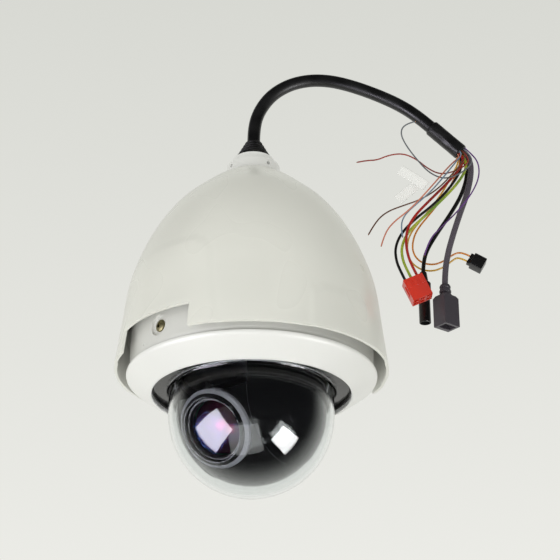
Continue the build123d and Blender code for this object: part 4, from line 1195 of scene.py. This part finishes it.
@dataclass
class TerminalBlock:
    """Two-way screw terminal: a square block with two wire entries and two screws."""

    place: Point = (181.0, 14.0, -74.0)
    roll: float = 30.0

    def build(self) -> bpy.types.Object:
        """Makes the terminal block."""
        shape = Shape()
        shape.box((3.0, -5.4, -5.5), (14.0, 5.4, 5.5), 0.6)
        for z in (-2.7, 2.7):
            shape.box((0.0, -2.6, z - 2.2), (4.0, 2.6, z + 2.2), 0.5)
            screw_head(shape, 1.9, 0.5, facing((8.0, -5.2, z), (0, -1, 0)), 4)
        matrix = Matrix.Translation(self.place) @ Matrix.Rotation(math.radians(self.roll), 4, "Y")
        return shape.piece(
            "terminal_block_body", Body.HOUSING, Finishes.CONNECTOR, nodes=("terminal_block",), place=matrix
        )


@dataclass
class LabelFlags:
    """Two blank vinyl flags beside the wires, each a little curled."""

    middles: tuple[Point, ...] = ((131, -14.2, -24), (134, -18.2, -14))
    turns: tuple[float, ...] = (-42.0, 36.0)
    size: tuple[float, float, float] = (27.0, 0.24, 9.0)
    curl: float = 0.8

    def build(self) -> None:
        """Makes both flags."""
        for index, (middle, turn) in enumerate(zip(self.middles, self.turns)):
            shape = Shape()
            length, wall, high = self.size
            bmesh.ops.create_grid(shape.bm, x_segments=36, y_segments=12, size=0.5)
            bmesh.ops.scale(shape.bm, vec=(length, high, 1), verts=shape.bm.verts)
            for vert in shape.bm.verts:
                curl = 0.22 * math.sin(vert.co.x * 0.24 + index * 2) + 0.1 * math.sin(vert.co.y * 0.7)
                vert.co.z = self.curl * curl
            lift = Matrix.Rotation(math.radians(90), 4, "X")
            place = Matrix.Translation(middle) @ Matrix.Rotation(math.radians(turn), 4, "Y") @ lift
            made = shape.piece(
                f"label_flag_{index + 1}", Body.HOUSING, Finishes.LABEL, nodes=("label_flags",), place=place
            )
            thicken(made, wall, 0.0)


# ---------------------------------------------------------------- neck, shield and housing


@dataclass
class Neck:
    """Mounting neck with its collar, flange screws and rubber cable gland."""

    collar_r: float = 22.5
    collar_half: float = 5.0
    spigot_r: float = 17.5
    spigot_top: float = 12.0
    hole_angles: tuple[float, ...] = (215.0, 305.0, 35.0, 125.0)
    screw_angles: tuple[float, ...] = (45.0, 135.0, 225.0, 315.0)

    def build(self) -> None:
        """Makes the neck, its screws and the gland."""
        self.build_neck()
        self.build_screws()
        self.build_gland()

    def build_neck(self) -> None:
        """Turned neck with rounded shoulders and four radial holes for set screws."""
        shape = Shape()
        wide, half = self.collar_r, self.collar_half
        outline = [
            (30, -20), (30, -16.1), (29.4, -15.5), (22.8, -15.5), (22.0, -14.8), (22.0, -half - 0.4),
            (wide - 0.3, -half), (wide, -half + 0.4), (wide, -2.4), (wide, 2.4), (wide, half - 0.9),
            (wide - 0.2, half - 0.4), (wide - 0.9, half), (18.3, half), (17.6, half + 0.6),
            (self.spigot_r, half + 1.4), (self.spigot_r, self.spigot_top - 0.9),
            (self.spigot_r - 0.25, self.spigot_top - 0.3), (self.spigot_r - 0.9, self.spigot_top),
            (12.0, self.spigot_top), (12.0, 3.0), (9.0, 3.0), (9.0, -20.0),
        ]
        shape.lathe(outline, 120, True)
        for angle in self.hole_angles:
            out = around_axis(angle, 1.0, 0.0)
            shape.bore(
                out * wide, out, 1.7, 4.0, 2.9,
                snap=lambda spot: Vector((*(spot.xy.normalized() * wide), spot.z)), corners=16,
            )
        shape.piece("neck_body", Body.HOUSING, Finishes.RING, nodes=("mount_neck",), sharp=40)

    def build_screws(self) -> None:
        """Four screws through the neck's flange."""
        shape = Shape()
        for angle in self.screw_angles:
            screw_head(shape, 2.7, 1.6, Matrix.Translation(around_axis(angle, 26.0, -15.5)))
        shape.piece("neck_flange_screws", Body.HOUSING, Finishes.STEEL, nodes=("neck_screws",))

    def build_gland(self) -> None:
        """Ribbed rubber gland that tapers up to the cable."""
        shape = Shape()
        outline = [(11.9, 3.2), (11.9, 12.0), (14.0, 12.1), (14.3, 12.5), (14.3, 15.5), (13.9, 16.0)]
        for step, low in enumerate((16.0, 19.2, 22.4, 25.6)):
            wide = 12.8 - 1.7 * step
            outline += [
                (wide - 1.6, low), (wide - 1.6, low + 0.9), (wide - 0.1, low + 1.3), (wide, low + 1.6),
                (wide - 0.2, low + 2.4), (wide - 0.8, low + 3.1),
            ]
        outline += [(6.8, 28.9), (5.9, 29.0), (4.6, 28.6), (0.0, 28.6)]
        shape.lathe(outline, 72)
        shape.piece("cable_gland_boot", Body.HOUSING, Finishes.RUBBER, nodes=("cable_gland",), sharp=60)


@dataclass
class Pad:
    """A softly raised field of the shield's face."""

    azimuth: float
    half_low: float
    half_high: float
    top: float
    lift: float = 0.9
    soft: float = 3.0

    def height(self, azimuth: float, z: float, rim: float) -> float:
        """How far the face is raised at an azimuth and a height.

        Args:
            azimuth: Degrees from -Y towards +X.
            z: Height of the point.
            rim: Height of the shield's rim.

        Returns:
            The lift in millimetres.
        """
        away = abs((azimuth - self.azimuth + 180) % 360 - 180)
        up = (z - rim) / (self.top - rim)
        half = self.half_low + (self.half_high - self.half_low) * min(1.0, max(0.0, up))
        corner = max(0.0, up - 0.8) / 0.2
        half *= math.sqrt(max(0.0, 1 - min(1.0, corner) ** 2)) * 0.35 + 0.65
        side = ease(half - away, -self.soft / 2, self.soft / 2)
        top = ease(self.top - z, -1.6, 1.6)
        return self.lift * side * top


@dataclass
class SunShield:
    """White bell-shaped shield with two notches in its rim and three soft raised fields."""

    outline: Outline = (
        (110.0, -183), (105.6, -148), (101.0, -113), (91.5, -84), (79.0, -59), (64.5, -39), (48.0, -23.5),
        (35.5, -13), (23.8, -5),
    )
    wall: float = 2.4
    rim: float = -183.0
    notch_top: float = -163.5
    notches: tuple[float, ...] = (204.0, 24.0)
    span: float = 41.0
    pads: tuple[Pad, ...] = (
        Pad(-45.5, 32.0, 26.5, -104.5), Pad(134.5, 32.0, 26.5, -104.5), Pad(51.0, 26.0, 25.5, -147.0),
    )

    def build(self) -> None:
        """Makes the shield."""
        shape = Shape()
        shape.lathe([*smooth_outline(self.outline, 9), (22.8, -5)], 360)
        shape.score((0, 0, self.notch_top), (0, 0, 1))
        shape.drop(self.in_notch)
        for vert in shape.bm.verts:
            spot = vert.co
            azimuth = math.degrees(math.atan2(spot.x, -spot.y))
            lift = max(pad.height(azimuth, spot.z, self.rim) for pad in self.pads)
            out = Vector((*spot.xy.normalized(), 0.0))
            slope = 0.25 if spot.z < -100 else 0.5
            vert.co = spot + (out * math.sqrt(1 - slope**2) + Vector((0, 0, slope * 0.5))) * lift
        bmesh.ops.recalc_face_normals(shape.bm, faces=shape.bm.faces)
        made = shape.piece(
            "sun_shield_shell", Body.HOUSING, Finishes.SHIELD, nodes=("sun_shield", "shield_rim")
        )
        thicken(made, self.wall)
        soften(made, 0.55, 3)

    def in_notch(self, centre: Vector) -> bool:
        """True for a face inside one of the notches."""
        angle = math.degrees(math.atan2(centre.y, centre.x)) % 360
        inside = any(0 < (angle - start) % 360 < self.span for start in self.notches)
        return inside and centre.z < self.notch_top


@dataclass
class Housing:
    """Cast housing inside the shield, with pockets for the ring's lock screws."""

    outline: Outline = ((98.0, -186), (97.4, -150), (93, -118), (83, -90), (70, -65), (54, -44), (30, -24))
    wall: float = 3.0
    lock_z: float = -169.0
    lock_angles: tuple[float, ...] = (223.5, 43.5)
    face_r: float = 97.8
    pocket_r: float = 8.5
    screw_seat_r: float = 95.2
    screw_r: float = 5.0
    pin_hole: tuple[float, float] = (212.25, -179.2)

    def build(self) -> None:
        """Makes the housing and its lock screws."""
        shape = Shape()
        shape.lathe([*smooth_outline(self.outline, 8), (30.0, -20.2), (14.0, -20.2)], 240)
        for angle in self.lock_angles:
            out = around_axis(angle, 1.0, 0.0)
            middle = around_axis(angle, self.face_r, self.lock_z)

            def snap(spot: Vector) -> Vector:
                """Lays a point of the pocket's edge on the housing's face."""
                return Vector((*(spot.xy.normalized() * self.face_r), spot.z))

            shape.bore(middle, out, self.pocket_r, 2.5, 11.4, snap=snap, corners=40)
        angle, z = self.pin_hole
        shape.bore(around_axis(angle, 98.0, z), around_axis(angle, 1.0, 0.0), 0.9, 1.0, 1.6, corners=12)
        # The housing's finish is the white coat painted greyer as painted shade.
        made = shape.piece("housing_bell", Body.HOUSING, Finishes.HOUSING, nodes=("upper_housing",), sharp=30)
        thicken(made, self.wall)
        self.build_lock_screws()

    def build_lock_screws(self) -> None:
        """Two captive screws that sit in the pockets."""
        shape = Shape()
        for angle in self.lock_angles:
            out = around_axis(angle, 1.0, 0.0)
            seat = around_axis(angle, self.screw_seat_r, self.lock_z)
            screw_head(shape, self.screw_r, 2.0, facing(seat, out))
        shape.piece(
            "ring_lock_screw_heads", Body.HOUSING, Finishes.YELLOW_STEEL, nodes=("ring_lock_screws",)
        )


@dataclass
class DomeRing:
    """White trim ring with its gasket, the grey liner above it and the liner's screws."""

    opening_r: float = 79.5
    opening_z: float = -202.5
    edge_z: float = -186.2
    housing_r: float = 98.0
    seat: float = -198.4
    flange_bottom: float = -197.4

    def build(self) -> None:
        """Makes the ring, the gasket, the liner and its screws."""
        self.build_ring()
        self.build_gasket()
        self.build_liner()

    def build_ring(self) -> None:
        """Ring with a gently crowned slope and a rolled lip at the opening."""
        shape = Shape()
        r, edge = self.housing_r, self.edge_z
        slope = []
        start, end = Vector((r + 1.4, edge - 3.7)), Vector((self.opening_r + 1.7, self.opening_z + 0.1))
        for step in range(13):
            t = step / 12
            spot = start.lerp(end, t)
            crown = 0.25 * math.sin(math.pi * t)
            slope.append((spot.x + 0.4 * crown, spot.y - crown * 0.6))
        outline = [
            (r - 3.4, edge + 4), (r - 3.4, edge), (r + 1.9, edge), (r + 2.35, edge - 0.3),
            (r + 2.5, edge - 0.9),
            (r + 2.45, edge - 1.8), (r + 2.1, edge - 2.8), *slope, (self.opening_r + 1.0, self.opening_z),
            (self.opening_r + 0.4, self.opening_z + 0.1), (self.opening_r + 0.05, self.opening_z + 0.5),
            (self.opening_r, self.opening_z + 1.0), (self.opening_r, self.seat), (83.8, self.seat),
            (83.8, self.seat + 1.8), (r - 6.4, self.seat + 6.4), (r - 6.4, edge + 4),
        ]
        shape.lathe(outline, 256, True)
        shape.piece("trim_ring", Body.HOUSING, Finishes.RING, nodes=("dome_ring",), sharp=40)

    def build_gasket(self) -> None:
        """Rubber ring between the ring's lip and the bubble's flange, with a short lip below: partly the
        gasket's own lip and partly a dark rim put as painted shade just inside the ring's opening.
        """
        shape = Shape()
        # The lip down to low is the dark rim that stands in for the shade just inside the ring's opening.
        r, low = self.opening_r, self.flange_bottom - 2.0
        outline = [
            (r - 1.3, self.flange_bottom), (83.0, self.flange_bottom), (83.0, self.flange_bottom - 0.9),
            (r - 0.2, self.flange_bottom - 0.9), (r - 0.2, low + 0.3), (r - 0.5, low), (r - 1.0, low),
            (r - 1.3, low + 0.3),
        ]
        shape.lathe(outline, 192, True)
        shape.piece("bubble_gasket", Body.HOUSING, Finishes.RUBBER, nodes=("dome_gasket",), sharp=40)

    def build_liner(self) -> None:
        """Grey ring over the bubble's flange, with eight screws."""
        shape = Shape()
        outline = [
            (61.6, -194.4), (61.6, -191.7), (61.9, -191.4), (86.9, -191.4), (87.2, -191.7), (87.2, -194.4),
        ]
        shape.lathe(outline, 160, True)
        shape.piece("bubble_liner", Body.HOUSING, Finishes.LINER, nodes=("dome_liner",), sharp=40)
        screws = Shape()
        for index in range(8):
            spot = around_axis(22.5 + 45 * index, 84.8, -191.4)
            screw_head(screws, 1.9, 1.3, Matrix.Translation(spot))
        screws.piece("liner_screw_heads", Body.HOUSING, Finishes.STEEL, nodes=("liner_screws",))


@dataclass
class Bubble:
    """Clear bubble: a hemisphere on a short cylinder, with a clamped flange and a rounded root."""

    radius: float = 66.0
    wall: float = 3.0
    centre_z: float = -218.5
    flange_r: float = 83.0
    flange_top: float = -194.4
    flange_bottom: float = -197.4
    root: float = 4.0

    def build(self) -> None:
        """Makes the bubble."""
        shape = Shape()
        r, z = self.radius, self.centre_z
        inner = r - self.wall
        outline = [(self.flange_r, self.flange_top), (self.flange_r, self.flange_bottom)]
        outline += [(76.0, self.flange_bottom)]
        outline += arc(r + self.root, self.flange_bottom - self.root, self.root, 90, 180, 8)
        outline += [(r, z + 6.0)]
        outline += arc(0, z, r, 0, -90, 64)
        outline += arc(0, z, inner, -90, 0, 64)
        outline += [(inner, z + 8.0), (inner, self.flange_top - 1.0), (inner + 0.8, self.flange_top)]
        outline += [(72.0, self.flange_top)]
        shape.lathe(outline, 224, True)
        shape.piece("clear_bubble", Body.HOUSING, Finishes.BUBBLE, nodes=("dome_bubble", "dome_flange"))


# ---------------------------------------------------------------- pan head and camera drum


@dataclass
class PanHead:
    """Black panning head: a skirt and two covers beside the drum, the right one with air holes."""

    radius: float = 60.0
    skirt_top: float = 29.0
    skirt_bottom: float = 23.0
    slot_half: float = 33.4
    wall: float = 2.0
    hole_r: float = 1.1
    hole_rows: int = 8
    hole_columns: int = 6
    first_row: float = 4.0
    first_column: float = 14.0
    row_step: float = 5.5
    column_step: float = 7.0
    cover_steps: int = 103

    def build(self) -> None:
        """Makes the skirt and both covers."""
        self.build_skirt()
        self.build_cover("side_cover_left", -1)
        self.build_cover("side_cover_right", 1)

    def build_skirt(self) -> None:
        """Ring above the covers, open in front of the lens."""
        shape = Shape()
        outline = [
            (55.5, self.skirt_bottom), (self.radius - 0.3, self.skirt_bottom),
            (self.radius, self.skirt_bottom + 0.3),
            (self.radius, self.skirt_top - 0.3), (self.radius - 0.3, self.skirt_top), (55.5, self.skirt_top),
        ]
        shape.lathe(outline, 144, True)
        gap = self.slot_half
        shape.score((-gap, 0, 0), (1, 0, 0))
        shape.score((gap, 0, 0), (1, 0, 0))
        shape.drop(lambda centre: abs(centre.x) < gap and centre.y < 0)
        bmesh.ops.holes_fill(shape.bm, edges=[e for e in shape.bm.edges if e.is_boundary], sides=0)
        bmesh.ops.recalc_face_normals(shape.bm, faces=shape.bm.faces)
        shape.piece("head_top_skirt", Body.HEAD, Finishes.SATIN_BLACK, nodes=("head_skirt",), place=IN_PAN)

    def build_cover(self, node: str, side: int) -> None:
        """One cover: the part of the head's round outside that lies beyond the drum.

        Args:
            node: The CAD node that it stands for.
            side: 1 for the right cover, with its air holes, and -1 for the left.
        """
        shape = Shape()
        lats = [2.625 + 2.75 * k for k in range(32)]
        outline = [(self.radius, self.skirt_bottom), (self.radius, 12.0), (self.radius, 0.0)]
        for lat in lats:
            turn = math.radians(lat)
            outline.append((self.radius * math.cos(turn), -self.radius * math.sin(turn)))
        outline.append((0.0, -self.radius))
        shape.lathe(outline, self.cover_steps)
        cell = 360 / self.cover_steps
        shape.place(Matrix.Rotation(math.radians(self.first_column - 3.5 * cell), 4, "Z"))
        if side > 0:
            self.build_holes(shape)
        shape.cut((side * self.slot_half, 0, 0), (-side, 0, 0), fill=False)
        bmesh.ops.recalc_face_normals(shape.bm, faces=shape.bm.faces)
        # The slot edges are marked for the grey second finish: a painted edge highlight once they are
        # rounded.
        mark = shape.bm.edges.layers.float.new("bevel_weight_edge")
        for edge in shape.bm.edges:
            if edge.is_boundary and all(abs(v.co.x - side * self.slot_half) < 0.01 for v in edge.verts):
                edge[mark] = 1.0
        made = shape.piece(
            node.replace("cover", "shell"), Body.HEAD, Finishes.GLOSS_BLACK, Finishes.GREY_AND_EDGE_HIGHLIGHT, nodes=(node,),
            place=IN_PAN,
        )
        thicken(made, self.wall)
        # Rounds the marked slot edges in the grey second finish, a painted edge highlight.
        soften(made, 0.9, 3, marked=True)

    def build_holes(self, shape: Shape) -> None:
        """Cuts the block of round air holes."""
        for row in range(self.hole_rows):
            for column in range(self.hole_columns):
                lon = math.radians(self.first_column + self.column_step * column)
                lat = math.radians(self.first_row + self.row_step * row)
                out = Vector((math.cos(lat) * math.cos(lon), math.cos(lat) * math.sin(lon), -math.sin(lat)))
                self.build_hole(shape, out)

    def build_hole(self, shape: Shape, out: Vector) -> None:
        """Opens one air hole in the face it falls on."""
        centre = out * self.radius
        face = min(shape.bm.faces, key=lambda f: (f.calc_center_median() - centre).length_squared)
        bmesh.ops.inset_individual(shape.bm, faces=[face], thickness=0.3)
        bmesh.ops.subdivide_edges(shape.bm, edges=list(face.edges), cuts=2)
        middle = face.calc_center_median()
        for vert in face.verts:
            run = vert.co - middle
            run -= out * run.dot(out)
            vert.co = (centre + run.normalized() * self.hole_r).normalized() * self.radius
        bmesh.ops.delete(shape.bm, geom=[face], context="FACES_ONLY")


@dataclass
class CameraDrum:
    """Black tilting drum with its lens bezel, barrel and glass. Sizes are about the tilt axis."""

    radius: float = 59.4
    half: float = 32.6
    clip: float = 27.0
    wall: float = 2.2
    part_y: float = 4.0
    seam: float = 0.1
    bezel_r: float = 31.0
    barrel_r: float = 24.0
    lens_r: float = 22.2
    screw_heights: tuple[float, ...] = (12.0, -30.0)

    def build(self) -> None:
        """Makes both halves of the drum, its screws and the lens."""
        self.build_half("drum_front", "drum_shell_front", 1)
        self.build_half("drum_rear", "drum_shell_rear", -1)
        self.build_screws()
        self.build_bezel()
        self.build_glass()

    def build_half(self, node: str, name: str, front: int) -> None:
        """One half of the drum's shell.

        Args:
            node: The CAD node that it stands for.
            name: The piece's name.
            front: 1 for the half with the lens opening, -1 for the other.
        """
        shape = Shape()
        start = math.degrees(math.asin((self.bezel_r + 0.2) / self.radius))
        shape.lathe([(r, z) for z, r in arc(0, 0, self.radius, start, 180, 90)], 180)
        shape.place(Matrix.Rotation(math.radians(90), 4, "X"))
        for side in (-1, 1):
            shape.cut((side * self.half, 0, 0), (side, 0, 0))
        for turn in range(0, 90, 10):
            out = Vector((0, math.cos(math.radians(turn)), math.sin(math.radians(turn))))
            shape.cut(out * self.clip, out)
        shape.cut((0, 0, self.clip), (0, 0, 1), fill=False)
        self.close_top(shape)
        if front > 0:
            shape.cut((0, self.part_y - self.seam, 0), (0, 1, 0), fill=False)
        else:
            shape.cut((0, self.part_y, 0), (0, -1, 0), fill=False)
        bmesh.ops.recalc_face_normals(shape.bm, faces=shape.bm.faces)
        made = shape.piece(name, Body.DRUM, Finishes.GLOSS_BLACK, nodes=(node,), place=IN_TILT)
        thicken(made, self.wall)
        soften(made, 0.35, 2)

    def close_top(self, shape: Shape) -> None:
        """Closes the flat top, whose edge runs into the lens opening's."""
        level = self.clip - 0.01
        rim = [e for e in shape.bm.edges if e.is_boundary and all(v.co.z > level for v in e.verts)]
        if rim:
            bmesh.ops.contextual_create(shape.bm, geom=rim)

    def build_screws(self) -> None:
        """Two small screws in the drum's right flank."""
        shape = Shape()
        for z in self.screw_heights:
            screw_head(shape, 1.8, 0.5, facing((self.half, 12.0, z), (1, 0, 0)))
        shape.piece("drum_flank_screws", Body.DRUM, Finishes.STEEL, nodes=("drum_screws",), place=IN_TILT)

    def build_bezel(self) -> None:
        """Lens ring, and the barrel behind it with light-trap grooves."""
        shape = Shape()
        r = self.bezel_r
        outline = [
            (r - 5.0, 48.0), (r, 48.0), (r, 52.0), (r - 0.35, 52.9), (r - 1.1, 53.5), (r - 3.0, 54.8),
            (r - 5.0, 56.1),
            (r - 5.6, 56.4), (r - 6.2, 56.3), (r - 6.6, 55.8), (self.barrel_r + 0.1, 52.0),
            (self.barrel_r + 0.1, 48.0),
        ]
        shape.lathe(outline, 144, True)
        # The outer rim keeps the grey, partly a painted highlight of the rim; the inner faces turn black.
        inside = [f for f in shape.bm.faces if f.calc_center_median().xy.length < r - 2.4]
        flag(inside, 1)
        shape.piece(
            "lens_ring", Body.DRUM, Finishes.GREY_AND_EDGE_HIGHLIGHT, Finishes.GLOSS_BLACK, nodes=("lens_bezel",),
            place=ALONG_LENS, sharp=30,
        )
        barrel = Shape()
        wide, inner = self.barrel_r, self.barrel_r - 1.6
        outline = [(wide, 14.0), (wide, 53.6), (wide - 0.4, 54.0), (inner + 0.3, 54.0), (inner, 53.6)]
        outline += [(inner, 48.2), (20.4, 48.0), (20.4, 46.8)]
        for step in range(12):
            high = 46.6 - 2.2 * step
            outline += [
                (inner, high), (inner, high - 1.2), (inner - 1.2, high - 1.4), (inner - 1.2, high - 2.0),
            ]
        outline += [(inner - 1.2, 14.0)]
        barrel.lathe(outline, 112, True)
        barrel.piece("lens_tube", Body.DRUM, Finishes.SATIN_BLACK, nodes=("lens_barrel",), place=ALONG_LENS)

    def build_glass(self) -> None:
        """Front glass and the two moving groups behind it."""
        parts = (
            (
                "front_glass", "front_lens", Body.DRUM, self.lens_r, 57.0, 48.2, 39.0, 220.0,
                Finishes.FRONT_GLASS,
            ),
            ("zoom_glass", "zoom_group", Body.ZOOM, 18.0, 41.0, 35.0, 30.0, 60.0, Finishes.INNER_GLASS),
            ("focus_glass", "focus_group", Body.FOCUS, 15.0, 24.0, 20.0, 40.0, 60.0, Finishes.INNER_GLASS),
        )
        for name, node, body, radius, front, back, curve_front, curve_back, finish in parts:
            shape = Shape()
            outline = [(radius, back + 0.4), (radius, front - self.sag(radius, curve_front) - 0.2)]
            outline += self.cap(radius - 0.2, front, curve_front)[::-1]
            outline += self.cap(radius - 0.4, back, curve_back)
            shape.lathe(outline, 96)
            shape.piece(name, body, finish, nodes=(node,), place=ALONG_LENS, sharp=30)

    @staticmethod
    def sag(radius: float, curve: float) -> float:
        """How far a lens surface of a given curvature falls away at its edge."""
        return curve - math.sqrt(curve * curve - radius * radius)

    @classmethod
    def cap(cls, radius: float, top: float, curve: float) -> list[tuple[float, float]]:
        """Points of a lens surface from the axis to its edge."""
        radii = [radius * i / 16 for i in range(17)]
        return [(r, top - cls.sag(r, curve)) for r in radii]


@dataclass
class Innards:
    """Finishes for the CAD parts that stay as they are, inside the housing and the head."""

    finishes: dict[str, Finish] = field(
        default_factory=lambda: {
            "chassis_plate": Finishes.ALUMINIUM, "chassis_posts": Finishes.STEEL,
            "main_board": Finishes.BOARD, "power_board": Finishes.BOARD, "heater_plate": Finishes.ALUMINIUM,
            "fan_frame": Finishes.SATIN_BLACK, "fan_rotor": Finishes.SATIN_BLACK,
            "pan_bearing": Finishes.BRONZE, "slip_ring_body": Finishes.SATIN_BLACK,
            "slip_ring_rotor": Finishes.SATIN_BLACK, "pan_motor": Finishes.STEEL,
            "pan_pinion": Finishes.BRONZE, "pan_gear": Finishes.NYLON, "pan_turntable": Finishes.ALUMINIUM,
            "yoke_arm_left": Finishes.ALUMINIUM, "yoke_arm_right": Finishes.ALUMINIUM,
            "tilt_bearings": Finishes.BRONZE, "tilt_motor": Finishes.STEEL, "tilt_pinion": Finishes.BRONZE,
            "tilt_gear": Finishes.NYLON, "tilt_axles": Finishes.STEEL, "ir_filter": Finishes.FILTER_GLASS,
            "sensor_board": Finishes.BOARD,
        }
    )

    def dress(self) -> None:
        """Gives each part its finish."""
        for node, finish in self.finishes.items():
            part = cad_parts[node]
            part.data.materials.clear()
            part.data.materials.append(finish.material())
            LOG.info("finish %s on %s", finish.name, node)


def main() -> None:
    """Builds the studio, the cords and then the camera from the outside in."""
    logging.basicConfig(level=logging.INFO, format="%(name)s: %(message)s")
    Studio().build()
    cable = TailCable()
    cable.build_cords()
    cable.build_ends()
    Neck().build()
    SunShield().build()
    Housing().build()
    DomeRing().build()
    Bubble().build()
    PanHead().build()
    CameraDrum().build()
    Innards().dress()


if __name__ == "__main__":
    main()
